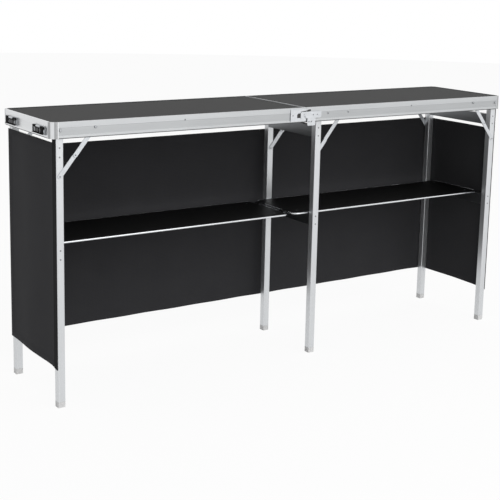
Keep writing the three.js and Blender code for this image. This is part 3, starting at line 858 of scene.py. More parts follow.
@dataclass
class Clasps:
    """The two clasps of the left end rail: pierced flaps with a pressed boss, over a bright backing plate.

    Lengths run from a clasp's inner end outwards, and heights from its flap's lower edge.
    """

    finishes: FinishSet
    metalwork: Metalwork
    edge_mm: float = 0.25
    windows_mm: tuple[Span, ...] = ((5.0, 17.0), (49.5, 58.0))
    window_height_mm: Span = (3.3, 16.8)
    overcut_mm: Span = (1.0, 0.5)
    boss_mm: Span = (19.0, 47.5)
    boss_height_mm: Span = (4.8, 15.6)
    boss_rise_mm: float = 0.9
    boss_corner_mm: float = 2.5
    leaf_inset_mm: float = 2.8
    backing_inset_mm: float = 3.0
    backing_height_mm: Span = (2.4, 15.6)
    backing_mm: float = 3.2
    backing_corner_mm: float = 1.5

    def build(self) -> None:
        """Make both clasps."""
        for side, sign in SIDES.items():
            self.clasp(side, sign)

    def clasp(self, side: str, sign: int) -> None:
        """Make one clasp.

        Args:
            side: Front or rear.
            sign: Way from its inner end outwards.
        """
        low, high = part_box(f"clasp_lever_{side}")
        start = Vector((0, high.y if sign < 0 else low.y, low.z))
        flap = self.metalwork.dress(f"clasp_lever_{side}", f"clasp_{side}", self.finishes.clasp, self.edge_mm)
        planes = (low.x - self.overcut_mm[0] * MM, high.x + self.overcut_mm[1] * MM)
        blocks = []
        for window in self.windows_mm:
            near, far = (self.rectangle(x, start, sign, window, self.window_height_mm) for x in planes)
            blocks.append(near + far)
        self.pierce(flap, blocks)
        boss = self.rectangle(low.x + self.leaf_inset_mm * MM, start, sign, self.boss_mm, self.boss_height_mm)
        plates(f"clasp_boss_{side}", f"clasp_{side}", self.finishes.clasp_boss,
               [(boss, Vector((-self.boss_rise_mm * MM, 0, 0)))], self.boss_corner_mm)
        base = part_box(f"clasp_base_{side}")[1].x - CLASP_BASE
        span = (self.backing_inset_mm, (high.y - low.y) / MM - self.backing_inset_mm)
        backing = self.rectangle(base, start, sign, span, self.backing_height_mm)
        plates(f"clasp_backing_{side}", "top", self.finishes.steel,
               [(backing, Vector((-self.backing_mm * MM, 0, 0)))], self.backing_corner_mm)

    @staticmethod
    def rectangle(x: float, start: Vector, sign: int, span: Span, rise: Span) -> list[Vector]:
        """Corners of a rectangle on the flap or base.

        Args:
            x: Plane it lies in.
            start: The inner end and the flap's lower edge.
            sign: Way from the inner end outwards.
            span: Start and end along it, in millimetres.
            rise: Low and high edge, in millimetres.

        Returns:
            Four corners in order.
        """
        corners = ((span[0], rise[0]), (span[1], rise[0]), (span[1], rise[1]), (span[0], rise[1]))
        return [Vector((x, start.y + sign * along * MM, start.z + up * MM)) for along, up in corners]

    @staticmethod
    def pierce(piece: bpy.types.Object, blocks: Iterable[Sequence[Vector]]) -> None:
        """Cut blocks out of a piece.

        Args:
            piece: Piece that is cut.
            blocks: Eight corners of each block, the first four and the last four in the same order.
        """
        shape = bmesh.new()
        for corners in blocks:
            verts = [shape.verts.new(c) for c in corners]
            for order in ((0, 1, 2, 3), (4, 5, 6, 7), (0, 1, 5, 4), (1, 2, 6, 5), (2, 3, 7, 6), (3, 0, 4, 7)):
                shape.faces.new([verts[i] for i in order])
        bmesh.ops.recalc_face_normals(shape, faces=shape.faces)
        cutter = to_object("window_cutter", shape)
        cut = piece.modifiers.new("windows", "BOOLEAN")
        cut.operation = "DIFFERENCE"
        cut.solver = "EXACT"
        cut.object = cutter
        bake_modifiers(piece)
        bpy.data.objects.remove(cutter)


@dataclass
class LatchShadows:
    """Black inlays round the latch, painted shadow: in the slot that its nose hooks into, and in the gap along its
    upper edge.

    Corners are in millimetres along X from the seam, and up from the middle of the rail.
    """

    finishes: FinishSet
    depth_mm: float = 0.15
    corner_mm: float = 1.2
    nose_slot_shadow_mm: tuple[Point2, ...] = ((-38, -9), (-21, -9), (-21, 6.5), (-34, 6.5), (-38, 2))
    plate_gap_shadow_mm: tuple[Point2, ...] = ((-23, 6.0), (-23, 12.2), (-1, 14.6), (-1, 11.8))
    rail_gap_shadow_mm: tuple[Point2, ...] = (
        (1, 11.6), (1, 14.6), (7, 15.0), (9, 17.5), (20, 18.0), (20, 12.0), (12, 11.4))

    def build(self) -> None:
        """Lay the painted shadows on the keeper plate and on the rail beside it."""
        low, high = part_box("front_rail_left")
        middle = (low.z + high.z) / 2
        rail, plate = low.y, low.y - KEEPER_PROUD
        way = Vector((0, -self.depth_mm * MM, 0))
        shadow_places = ((plate, self.nose_slot_shadow_mm), (plate, self.plate_gap_shadow_mm), (rail, self.rail_gap_shadow_mm))
        outlines = [([Vector((x * MM, face, middle + z * MM)) for x, z in corners], way)
                    for face, corners in shadow_places]
        # The black inlays are painted shadow.
        plates("latch_painted_shadows", "top", self.finishes.painted_shade, outlines, self.corner_mm)


# Rivets


@dataclass(frozen=True)
class RivetHead:
    """The size of a rivet's head."""

    radius_mm: float
    height_mm: float


@dataclass
class Rivets:
    """Pop rivets: domed heads with a hole whose faces are black, painted shade in the recess, instanced on points
    by Geometry Nodes.

    The outline is half a section of the head, from its foot to its hole, in shares of its radius and height.
    """

    finishes: FinishSet
    round_steps: int = 16
    outline: tuple[Point2, ...] = (
        (0.0, -0.3), (1.0, -0.3), (1.0, 0.15), (0.93, 0.55), (0.72, 0.9), (0.46, 1.0), (0.36, 0.92),
        (0.34, 0.35), (0.0, 0.3))
    hole_share: float = 0.35
    weld_gap: float = 0.001 * MM
    tree: bpy.types.NodeTree = field(init=False)

    def __post_init__(self) -> None:
        """Make the tree that every row shares."""
        self.tree = self.make_tree()

    def make_tree(self) -> bpy.types.NodeTree:
        """Build the tree: a turned head on each point, its axis along the way that the point faces.

        Returns:
            The node tree.
        """
        tree, given = new_tree("pop_rivets", {
            "Head Radius": "Float", "Head Height": "Float", "Head Material": "Material",
            "Hole Material": "Material"})
        head = self.turned_head(tree, given)
        axis = add_node(tree, "GeometryNodeInputNamedAttribute", {"Name": "axis"}, data_type="FLOAT_VECTOR")
        turn = add_node(tree, "FunctionNodeAlignRotationToVector", {"Vector": axis.outputs[0]}, axis="Z")
        placed = add_node(tree, "GeometryNodeInstanceOnPoints", {
            "Points": given.outputs["Geometry"], "Instance": head, "Rotation": turn.outputs[0]})
        end_tree(tree, placed.outputs[0], given.outputs["Head Material"],
                 {"hole": given.outputs["Hole Material"]})
        return tree

    def turned_head(self, tree: bpy.types.NodeTree, given: bpy.types.Node) -> bpy.types.NodeSocket:
        """Roll a grid into a turned head: one side of the grid runs along the outline, the other round it.

        Args:
            tree: Tree that takes the nodes.
            given: Its input node.

        Returns:
            The head's geometry.
        """
        last = len(self.outline) - 1
        sheet = add_node(tree, "GeometryNodeMeshGrid", {
            "Size X": 1.0, "Size Y": 1.0, "Vertices X": last + 1, "Vertices Y": self.round_steps + 1})
        place = add_node(tree, "GeometryNodeInputPosition")
        parts = add_node(tree, "ShaderNodeSeparateXYZ", {0: place.outputs[0]})
        # The grid runs from -0.5 to 0.5 and the outline from 0 to 1.
        along = add_node(tree, "ShaderNodeMath", {0: parts.outputs[0], 1: 0.5}, operation="ADD")
        step = add_node(tree, "ShaderNodeMath", {0: along.outputs[0], 1: float(last)}, operation="MULTIPLY")
        index = add_node(tree, "ShaderNodeMath", {0: step.outputs[0]}, operation="ROUND")
        whole = add_node(tree, "FunctionNodeFloatToInt", {0: index.outputs[0]})
        radius, height = (self.lookup(tree, whole.outputs[0], shares) for shares in zip(*self.outline))
        reach, rise = (add_node(tree, "ShaderNodeMath", {0: share, 1: given.outputs[name]},
                                operation="MULTIPLY")
                       for share, name in ((radius, "Head Radius"), (height, "Head Height")))
        angle = add_node(tree, "ShaderNodeMath", {0: parts.outputs[1], 1: math.tau}, operation="MULTIPLY")
        flat = []
        for kind in ("COSINE", "SINE"):
            wave = add_node(tree, "ShaderNodeMath", {0: angle.outputs[0]}, operation=kind)
            flat.append(add_node(tree, "ShaderNodeMath", {0: wave.outputs[0], 1: reach.outputs[0]},
                                 operation="MULTIPLY").outputs[0])
        spot = add_node(tree, "ShaderNodeCombineXYZ", {0: flat[0], 1: flat[1], 2: rise.outputs[0]})
        # Faces inside the hole are marked for the black material, which is painted shade in the recess.
        narrow = add_node(tree, "FunctionNodeCompare", {0: radius, 1: self.hole_share},
                          data_type="FLOAT", operation="LESS_THAN")
        above = add_node(tree, "FunctionNodeCompare", {0: height, 1: 0.0},
                         data_type="FLOAT", operation="GREATER_THAN")
        inside = add_node(tree, "FunctionNodeBooleanMath", {0: narrow.outputs[0], 1: above.outputs[0]},
                          operation="AND")
        noted = add_node(tree, "GeometryNodeStoreNamedAttribute", {
            "Geometry": sheet.outputs[0], "Name": "hole", "Value": inside.outputs[0]},
            data_type="BOOLEAN", domain="FACE")
        rolled = add_node(tree, "GeometryNodeSetPosition", {
            "Geometry": noted.outputs[0], "Position": spot.outputs[0]})
        closed = add_node(tree, "GeometryNodeMergeByDistance", {
            "Geometry": rolled.outputs[0], "Distance": self.weld_gap})
        return closed.outputs[0]

    @staticmethod
    def lookup(tree: bpy.types.NodeTree, index: bpy.types.NodeSocket,
               values: Sequence[float]) -> bpy.types.NodeSocket:
        """Pick one of several values by a whole number.

        Args:
            tree: Tree that takes the node.
            index: Which value.
            values: The values.

        Returns:
            The picked value.
        """
        node = add_node(tree, "GeometryNodeIndexSwitch", data_type="FLOAT")
        while len(node.index_switch_items) < len(values):
            node.index_switch_items.new()
        tree.links.new(index, node.inputs[0])
        for place, value in enumerate(values, 1):
            node.inputs[place].default_value = value
        return node.outputs[0]

    def place(self, name: str, body: str, head: RivetHead, seats: Sequence[Seat],
              slot: str = "aluminium") -> None:
        """Set a row of rivets on one body.

        Args:
            name: Name of the piece.
            body: Body it rides on.
            head: Size of each head.
            seats: Where each head sits and the way it faces.
            slot: Material slot of the record. It is not used.
        """
        mesh = bpy.data.meshes.new(name)
        mesh.from_pydata([spot for spot, _ in seats], [], [])
        axis = mesh.attributes.new("axis", "FLOAT_VECTOR", "POINT")
        axis.data.foreach_set("vector", [part for _, way in seats for part in way])
        piece = new_object(name, mesh)
        grow(piece, self.tree, {
            "Head Radius": head.radius_mm * MM, "Head Height": head.height_mm * MM,
            "Head Material": self.finishes.rivet, "Hole Material": self.finishes.painted_shade})
        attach(piece, body)


@dataclass
class Fastening:
    """Where the rivets sit on the rails, legs, stays, latch, clasps and shelves."""

    rivets: Rivets
    rail_head: RivetHead = RivetHead(3.2, 1.1)
    flush_head: RivetHead = RivetHead(3.0, 0.24)
    pivot_head: RivetHead = RivetHead(4.6, 2.3)
    small_head: RivetHead = RivetHead(2.4, 0.8)
    board_rivet_x: float = 0.4715
    hinge_rivet_x: Span = (0.095, 0.183)
    board_rivet_drop: float = 0.0155
    hinge_rivet_drop: float = 0.0235
    bar_rivet_inset: float = 0.006
    pin_sunk_mm: float = 1.8
    end_rivet_y: float = 0.150
    end_recess_mm: float = 0.8
    keeper_rivet_mm: float = 9.0
    lever_rivet_mm: float = 17.0
    thumb_rise_mm: float = 14.0
    thumb_dimples_mm: Span = (35.0, 25.0)
    clasp_rivet_rise_mm: float = 3.5
    clasp_rivet_inset_mm: float = 5.0
    shelf_rivet_inset: float = 0.034

    def build(self) -> None:
        """Set every row of rivets."""
        self.on_rails()
        for name in FRAMES:
            self.on_frame(name)
        self.on_latch()
        for side in SIDES:
            self.on_clasp(side)
        for half in HALVES:
            self.on_shelf(half)

    def on_rails(self) -> None:
        """Rivets that hold the boards and the middle brackets, on both long rails and the end rails."""
        low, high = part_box("front_rail_right")
        seats = []
        for side, sign in SIDES.items():
            face = self.outer_face(f"{side}_rail_right", sign)
            way = (0.0, float(sign), 0.0)
            for x in (-self.board_rivet_x, self.board_rivet_x):
                seats.append(((x, face, high.z - self.board_rivet_drop), way))
            for x in self.hinge_rivet_x:
                seats.append(((x, face, high.z - self.hinge_rivet_drop), way))
        face = abs(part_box("corner_front_left")[0].x) - self.end_recess_mm * MM
        for sign in HALVES.values():
            for y in (-self.end_rivet_y, self.end_rivet_y):
                seats.append(((sign * face, y, (low.z + high.z) / 2), (float(sign), 0.0, 0.0)))
        self.rivets.place("rail_rivets", "top", self.rail_head, seats)

    def on_frame(self, name: str) -> None:
        """Flush rivets of the cross bars, and the heads of the pivot and stay pins.

        Args:
            name: Which leg frame.
        """
        carriers = {
            "bar": ("leg_frame", self.flush_head), "pivot": ("leg_frame", self.pivot_head),
            "stay_head": ("upper_links", self.pivot_head), "stay_foot": ("lower_links", self.flush_head),
            "stay_knee": ("upper_links", self.flush_head)}
        rows: dict[str, list[Seat]] = {kind: [] for kind in carriers}
        pivot = self.joint(f"{name}_leg_fold")
        head = self.joint(f"{name}_upper_link_turn")
        foot = self.joint(f"{name}_lower_link_turn")
        for side, sign in SIDES.items():
            plug_low, plug_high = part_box(f"{name}_foot_{side}")
            leg_x = (plug_low.x + plug_high.x) / 2
            leg_face = self.outer_face(f"{name}_foot_{side}", sign)
            for level in BARS:
                bar_low, bar_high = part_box(f"{name}_{level}_bar")
                for z in (bar_low.z + self.bar_rivet_inset, bar_high.z - self.bar_rivet_inset):
                    rows["bar"].append(((leg_x, leg_face, z), (0.0, float(sign), 0.0)))
            # The middle frame's stays are inside its legs, so their rivets face inwards.
            out = -sign if name == "middle" else sign
            way = (0.0, float(out), 0.0)
            sunk = out * self.pin_sunk_mm * MM
            lower, upper = (f"{name}_{link}_link_{side}" for link in LINKS)
            low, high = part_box(lower)
            half = foot.z - low.z
            knee_x = high.x - half if head.x > foot.x else low.x + half
            pivot_tip = self.outer_face(f"{name}_leg_{side}", out) - sunk
            rows["pivot"].append(((pivot.x, pivot_tip, pivot.z), way))
            rows["stay_head"].append(((head.x, self.outer_face(upper, out) - sunk, head.z), way))
            rows["stay_foot"].append(((foot.x, self.outer_face(lower, out), foot.z), way))
            rows["stay_knee"].append(((knee_x, self.leaf_face(upper, out), high.z - half), way))
        for kind, (body, size) in carriers.items():
            self.rivets.place(f"{name}_{kind}_rivets", f"{name}_{body}", size, rows[kind])

    @staticmethod
    def outer_face(node: str, way: int) -> float:
        """The Y of a node's furthest face, towards -Y or +Y."""
        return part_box(node)[0 if way < 0 else 1].y

    @staticmethod
    def leaf_face(node: str, way: int) -> float:
        """Outer face of a stay link at its lower end, clear of the pin at its upper end.

        Args:
            node: The link.
            way: -1 or 1 along Y.

        Returns:
            The face's Y.
        """
        low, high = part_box(node)
        middle = (low.z + high.z) / 2
        spots = [v.co.y for v in frame["nodes"][node].data.vertices if v.co.z < middle]
        return min(spots) if way < 0 else max(spots)

    @staticmethod
    def joint(name: str) -> Vector:
        """A joint's place at rest."""
        return Vector(next(j["pos_m"] for j in frame["joints"] if j["name"] == name))

    def on_latch(self) -> None:
        """Rivets of the keeper plate and of the latch lever, and the dimples under the thumb."""
        low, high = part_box("latch_keeper")
        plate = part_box("front_rail_left")[0].y - KEEPER_PROUD
        ahead = (0.0, -1.0, 0.0)
        keeper = (low.x + self.keeper_rivet_mm * MM, plate, (low.z + high.z) / 2)
        self.rivets.place("latch_plate_rivets", "top", self.small_head, [(keeper, ahead)])
        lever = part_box("latch_lever")[0]
        pivot = self.joint("latch_lift")
        pins = [((pivot.x - back * MM, lever.y, pivot.z), ahead) for back in (0, self.lever_rivet_mm)]
        self.rivets.place("latch_pivot_rivets", "latch", self.small_head, pins, "steel_hardware")
        thumb_z = lever.z + self.thumb_rise_mm * MM
        dimples = [((pivot.x - back * MM, lever.y, thumb_z), ahead) for back in self.thumb_dimples_mm]
        self.rivets.place("latch_thumb_dimples", "latch", self.flush_head, dimples, "steel_hardware")

    def on_clasp(self, side: str) -> None:
        """Two rivets through a clasp's base plate.

        Args:
            side: Front or rear.
        """
        low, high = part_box(f"clasp_base_{side}")
        z = low.z + self.clasp_rivet_rise_mm * MM
        inset = self.clasp_rivet_inset_mm * MM
        self.rivets.place(f"clasp_rivets_{side}", "top", self.small_head, [
            ((high.x - CLASP_BASE, y, z), (-1.0, 0.0, 0.0)) for y in (low.y + inset, high.y - inset)])

    def on_shelf(self, half: str) -> None:
        """Small rivets at a shelf's corners.

        Args:
            half: Left or right.
        """
        low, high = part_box(f"{half}_shelf_board")
        inset = self.shelf_rivet_inset
        seats = [((x, y, high.z), (0.0, 0.0, 1.0))
                 for x in (low.x + inset, high.x - inset) for y in (low.y + inset, high.y - inset)]
        self.rivets.place(f"{half}_shelf_rivets", f"{half}_shelf", self.small_head, seats, "shelf_wire")


# Shelf wire


@dataclass
class ShelfWire:
    """The wire rims of the shelves, swept round a rounded rectangle by Geometry Nodes, and the left hooks.

    Each bend of a hook is a share of its reach, then wire radii along and up from there.
    """

    finishes: FinishSet
    corner_mm: float = 25.0
    corner_steps: int = 10
    wire_steps: int = 14
    gap_mm: float = 0.3
    hook_width: float = 24 * MM
    hook_thick: float = 2 * MM
    hook_spread: float = 75 * MM
    hook_edge: float = 0.4 * MM
    hook_crisp_rad: float = 1.0
    hook_bends: tuple[Point, ...] = (
        (0.0, -0.2, 0.0), (0.0, 0.0, 1.1), (0.0, 0.6, 1.43), (0.5, 0.0, 1.43), (1.0, -0.2, 1.43),
        (1.0, 0.0, 1.3))

    def build(self) -> None:
        """Make both rims."""
        tree = self.make_tree()
        for half in HALVES:
            self.rim(half, tree)

    def make_tree(self) -> bpy.types.NodeTree:
        """Build the tree: a rounded rectangle swept with a round wire.

        Returns:
            The node tree.
        """
        tree, given = new_tree("shelf_rim", {
            "Length": "Float", "Depth": "Float", "Corner Radius": "Float", "Wire Radius": "Float",
            "Centre": "Vector", "Wire": "Material"})
        path = add_node(tree, "GeometryNodeCurvePrimitiveQuadrilateral", {
            "Width": given.outputs["Length"], "Height": given.outputs["Depth"]})
        rounded = add_node(tree, "GeometryNodeFilletCurve", {
            "Curve": path.outputs[0], "Count": self.corner_steps, "Radius": given.outputs["Corner Radius"]},
            mode="POLY")
        section = add_node(tree, "GeometryNodeCurvePrimitiveCircle", {
            "Resolution": self.wire_steps, "Radius": given.outputs["Wire Radius"]})
        swept = add_node(tree, "GeometryNodeCurveToMesh", {
            "Curve": rounded.outputs[0], "Profile Curve": section.outputs[0]})
        moved = add_node(tree, "GeometryNodeTransform", {
            "Geometry": swept.outputs[0], "Translation": given.outputs["Centre"]})
        end_tree(tree, moved.outputs[0], given.outputs["Wire"])
        return tree

    def rim(self, half: str, tree: bpy.types.NodeTree) -> None:
        """Make one rim, with hooks where the CAD rim has them.

        Args:
            half: Left or right.
            tree: Tree that sweeps the wire.
        """
        low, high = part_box(f"{half}_shelf_board")
        rim_low, rim_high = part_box("right_shelf_rim")
        wire = (rim_high.z - rim_low.z) / 2
        margin = self.gap_mm * MM + wire
        if half == "left":
            self.hooks(high.x + margin, rim_low.z + wire, wire)
        piece = new_object(f"{half}_rim_wire", bpy.data.meshes.new(f"{half}_rim_wire"))
        grow(piece, tree, {
            "Length": high.x - low.x + 2 * margin, "Depth": high.y - low.y + 2 * margin,
            "Corner Radius": self.corner_mm * MM, "Wire Radius": wire, "Wire": self.finishes.wire,
            "Centre": ((low.x + high.x) / 2, (low.y + high.y) / 2, (rim_low.z + rim_high.z) / 2)})
        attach(piece, f"{half}_shelf")
        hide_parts(f"{half}_shelf_rim")

    def hooks(self, centre_x: float, centre_z: float, wire: float) -> None:
        """Bend two flat black straps from the left rim over the right one.

        Args:
            centre_x: Middle of the left rim's inner wire.
            centre_z: Its height.
            wire: Its radius.
        """
        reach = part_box("left_shelf_rim")[1].x - centre_x
        path = [Vector((reach * share + wire * along, 0, wire * up)) for share, along, up in self.hook_bends]
        half = self.hook_thick / 2
        shape = bmesh.new()
        for middle in (-self.hook_spread, self.hook_spread):
            rows = []
            for index, spot in enumerate(path):
                ahead = (path[min(index + 1, len(path) - 1)] - path[max(index - 1, 0)]).normalized()
                up = Vector((-ahead.z, 0, ahead.x)) * half
                edges = (middle - self.hook_width / 2, middle + self.hook_width / 2)
                rows.append([shape.verts.new(spot + up * way + Vector((centre_x, y, centre_z + half)))
                             for y in edges for way in (-1, 1)])
            for first, second in zip(rows, rows[1:]):
                for a, b in ((0, 1), (1, 3), (3, 2), (2, 0)):
                    shape.faces.new((first[a], first[b], second[b], second[a]))
            for row in (rows[0], rows[-1]):
                shape.faces.new((row[0], row[1], row[3], row[2]))
        bmesh.ops.recalc_face_normals(shape, faces=shape.faces)
        sharp = [e for e in shape.edges if e.calc_face_angle(0.0) > self.hook_crisp_rad]
        bmesh.ops.bevel(shape, geom=sharp, offset=self.hook_edge, segments=2, profile=0.5, affect="EDGES",
                        clamp_overlap=True)
        piece = to_object("shelf_hooks", shape, self.finishes.clasp)
        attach(piece, "left_shelf")


# Board edge shadow


@dataclass
class EdgeShadow:
    """A black bead between a top board and its rails, painted shadow of the gap there, run along its edge by
    Geometry Nodes.
    """

    finishes: FinishSet
    bead_mm: float = 1.9
    bead_steps: int = 8
    corner_steps: int = 8
    rise_share: float = 0.9
    same_edge: float = 0.05 * MM

    def build(self) -> None:
        """Run a bead round three sides of each board."""
        tree = self.make_tree()
        for half, sign in HALVES.items():
            piece = new_line(f"board_shadow_{half}", self.path(half, sign))
            grow(piece, tree, {"Bead Radius": self.bead_mm / 2 * MM, "Shadow Material": self.finishes.edge_shadow})
            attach(piece, "top")

    def path(self, half: str, sign: int) -> list[Vector]:
        """Middle line of one bead, from the seam round the end of the board and back to the seam.

        Args:
            half: Left or right.
            sign: Which way the board's end lies.

        Returns:
            Its points.
        """
        low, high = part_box(f"top_board_{half}")
        spots = [v.co for v in frame["nodes"][f"top_board_{half}"].data.vertices]
        seam, end = sorted((abs(low.x), abs(high.x)))
        corner = end - max(abs(v.x) for v in spots if abs(abs(v.y) - high.y) < self.same_edge)
        inset = self.bead_mm / 2 * MM
        z = high.z + inset * self.rise_share
        radius = corner - inset
        line = [Vector((sign * seam, inset - high.y, z))]
        for turn in (-1, 1):
            for step in range(self.corner_steps + 1):
                share = step / self.corner_steps
                angle = math.pi / 2 * (share if turn < 0 else 1 - share)
                x = end - corner + radius * math.sin(angle)
                y = high.y - corner + radius * math.cos(angle)
                line.append(Vector((sign * x, turn * y, z)))
        line.append(Vector((sign * seam, high.y - inset, z)))
        return line

    def make_tree(self) -> bpy.types.NodeTree:
        """Build the tree: a round bead swept along the given line.

        Returns:
            The node tree.
        """
        tree, given = new_tree("shadow_bead", {"Bead Radius": "Float", "Shadow Material": "Material"})
        line = add_node(tree, "GeometryNodeMeshToCurve", {"Mesh": given.outputs["Geometry"]})
        section = add_node(tree, "GeometryNodeCurvePrimitiveCircle", {
            "Resolution": self.bead_steps, "Radius": given.outputs["Bead Radius"]})
        swept = add_node(tree, "GeometryNodeCurveToMesh", {
            "Curve": line.outputs[0], "Profile Curve": section.outputs[0], "Fill Caps": True})
        end_tree(tree, swept.outputs[0], given.outputs["Shadow Material"])
        return tree


# Skirt


@dataclass
class Stitching:
    """Lockstitch seen from one face: short threads end to end along a seam, made by Geometry Nodes.

    The real stitch is about 3 mm. It is drawn longer, so that it shows in a close view.
    """

    finishes: FinishSet
    pitch: float = 0.009
    thread_mm: float = 0.7
    share: float = 0.62
    tree: bpy.types.NodeTree = field(init=False)

    def __post_init__(self) -> None:
        """Make the tree that every seam shares."""
        self.tree = self.make_tree()

    def run(self, name: str, spots: Sequence[Vector]) -> bpy.types.Object:
        """Sew along a closed line.

        Args:
            name: Name of the piece.
            spots: Points of the line.

        Returns:
            The stitches.
        """
        piece = new_line(name, spots, closed=True)
        grow(piece, self.tree, {
            "Pitch": self.pitch, "Stitch Length": self.pitch * self.share, "Thread": self.thread_mm * MM,
            "Thread Material": self.finishes.thread})
        return piece

    @staticmethod
    def make_tree() -> bpy.types.NodeTree:
        """Build the tree: a rounded thread at even steps along the line, turned to follow it.

        Returns:
            The node tree.
        """
        tree, given = new_tree("lockstitch", {
            "Pitch": "Float", "Stitch Length": "Float", "Thread": "Float", "Thread Material": "Material"})
        line = add_node(tree, "GeometryNodeMeshToCurve", {"Mesh": given.outputs["Geometry"]})
        steps = add_node(tree, "GeometryNodeResampleCurve", {
            "Curve": line.outputs[0], "Length": given.outputs["Pitch"]}, mode="LENGTH")
        way = add_node(tree, "GeometryNodeInputTangent")
        turn = add_node(tree, "FunctionNodeAlignRotationToVector", {"Vector": way.outputs[0]}, axis="X")
        bead = add_node(tree, "GeometryNodeMeshIcoSphere", {"Radius": 0.5, "Subdivisions": 1})
        size = add_node(tree, "ShaderNodeCombineXYZ", {
            0: given.outputs["Stitch Length"], 1: given.outputs["Thread"], 2: given.outputs["Thread"]})
        placed = add_node(tree, "GeometryNodeInstanceOnPoints", {
            "Points": steps.outputs[0], "Instance": bead.outputs[0], "Rotation": turn.outputs[0],
            "Scale": size.outputs[0]})
        end_tree(tree, placed.outputs[0], given.outputs["Thread Material"])
        return tree


@dataclass
class Panel:
    """One cloth panel: the node it stands for, its flat size, its surface, and how it hangs.

    Its surface takes shares of the width and height, and gives a point and the way out of the cloth there.
    """

    node: str
    width: float
    length: float
    surface: Surface
    legs: tuple[str, ...] = ()
    fold: str | None = None


@dataclass
class Skirt:
    """The cloth skirt: a rear panel and two side panels with hems, edge tape and stitching."""

    finishes: FinishSet
    stitching: Stitching
    step: float = 0.012
    thick_mm: float = 0.7
    hem_mm: float = 1.7
    hem_width: float = 0.020
    hem_turn: float = 0.06
    hem_clear: float = 0.4
    crisp_angle: float = 50.0
    tape_width: float = 0.022
    tape_mm: float = 0.9
    tape_gap_mm: float = 2.0
    tape_steps: int = 3
    hanger_x: Point = (-0.8876, 0.112, 0.8975)
    hanger_width: float = 0.018
    hanger_lap: float = 0.026
    folds: int = 9
    fold_mm: float = 1.3
    fold_hold: float = 0.5
    ripple_mm: float = 1.6
    broad_ripples: Span = (4.5, 2.2)
    fine_ripples: Span = (13.0, 6.0)
    fine_share: float = 0.35
    fine_seed: float = 7.0
    rear_seed: float = 1.0
    side_seed: float = 3.0
    rear_slack_mm: float = 2.4
    pull_mm: float = 4.2
    pull_reach: float = 0.05
    pull_fade: float = 0.08
    side_gap_mm: float = 0.9
    side_bulge_mm: float = 4.0
    corner_dip: float = 0.006
    dip_reach: float = 0.03
    dip_share: float = 0.2
    keep: float = 0.24
    stitch_place: float = 0.8
    stitch_lift_mm: float = 0.1

    def build(self) -> None:
        """Make the three panels with their tape and stitches."""
        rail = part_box("front_rail_left")[0].z
        for panel in self.panels():
            cloth = self.sheet(panel)
            extras = [self.stitches(panel)]
            if panel.fold:
                extras.append(self.tape(panel, rail))
            else:
                extras.extend(self.hanger(panel, rail, leg, x) for leg, x in zip(FRAMES, self.hanger_x))
            for piece in (cloth, *extras):
                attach(piece, "top")
                if panel.fold:
                    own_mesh(piece)
            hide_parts(panel.node)

    def panels(self) -> list[Panel]:
        """Describe the three panels.

        Returns:
            The panels.
        """
        low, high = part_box("skirt_rear")
        panels = [Panel("skirt_rear", high.x - low.x, high.z - low.z, self.rear_surface(),
                        ("left_leg_rear", "right_leg_rear"))]
        for half, sign in HALVES.items():
            low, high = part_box(f"skirt_{half}")
            legs = tuple(f"{half}_leg_{side}" for side in SIDES)
            panels.append(Panel(f"skirt_{half}", high.y - low.y, high.z - low.z,
                                self.side_surface(half, sign), legs, f"{half}_leg_fold"))
        return panels

    def ripple(self, a: float, b: float, seed: float) -> float:
        """Small soft unevenness of hung cloth.

        Args:
            a: Place across the cloth, in metres.
            b: Place along its height, in metres.
            seed: Which of many patterns.

        Returns:
            How far the cloth stands out, in metres.
        """
        (broad_a, broad_b), (fine_a, fine_b) = self.broad_ripples, self.fine_ripples
        broad = noise.noise(Vector((a * broad_a, b * broad_b, seed)))
        fine = noise.noise(Vector((a * fine_a, b * fine_b, seed + self.fine_seed)))
        return (broad + self.fine_share * fine) * self.ripple_mm * MM

    def rear_surface(self) -> Surface:
        """Surface of the rear panel, from its left edge to its right.

        Returns:
            A function of the shares of width and height.
        """
        low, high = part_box("skirt_rear")
        rest = high.y - self.rear_slack_mm * MM
        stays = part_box("left_lower_link_rear")[0].z

        def surface(s: float, t: float) -> tuple[Vector, Vector]:
            """Hang the rear panel, drawn in to the end legs below the stays.

            Args:
                s: Share of the width.
                t: Share of the height.

            Returns:
                A point of the panel and the way out of it.
            """
            x = low.x + (high.x - low.x) * s
            z = low.z + (high.z - low.z) * t
            from_edge = min(s, 1 - s) * (high.x - low.x)
            below = min(max((stays - z) / self.pull_fade, 0.0), 1.0)
            pull = math.exp(-(from_edge / self.pull_reach) ** 2) * self.pull_mm * MM * below
            loose = 1.0 - self.fold_hold * t
            wave = self.fold_mm * MM * math.cos(math.tau * self.folds * s) * loose
            return Vector((x, rest - wave + self.ripple(x, z, self.rear_seed) - pull, z)), Vector((0, 1, 0))

        return surface

    def side_surface(self, half: str, sign: int) -> Surface:
        """Surface of a side panel, from its front edge to the rear.

        Args:
            half: Left or right.
            sign: Which way is out.

        Returns:
            A function of the shares of width and height.
        """
        low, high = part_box(f"skirt_{half}")
        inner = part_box(f"{half}_foot_front")[0 if sign < 0 else 1].x
        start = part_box(f"{half}_foot_front")[1].y
        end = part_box(f"{half}_foot_rear")[0].y

        def surface(s: float, t: float) -> tuple[Vector, Vector]:
            """Hang the side panel, loose between its legs and dipped at its front lower corner.

            Args:
                s: Share of the width.
                t: Share of the height.

            Returns:
                A point of the panel and the way out of it.
            """
            y = low.y + (high.y - low.y) * s
            z = low.z + (high.z - low.z) * t
            between = min(max((y - start) / (end - start), 0.0), 1.0)
            free = math.sin(math.pi * between) ** 2
            bulge = self.side_bulge_mm * MM + abs(self.ripple(y, z, self.side_seed + sign))
            out = self.side_gap_mm * MM + free * bulge
            near = math.exp(-(s * (high.y - low.y) / self.dip_reach) ** 2)
            dip = self.corner_dip * near * max(0.0, 1 - t / self.dip_share)
            return Vector((inner + sign * out, y, z - dip)), Vector((float(sign), 0, 0))

        return surface

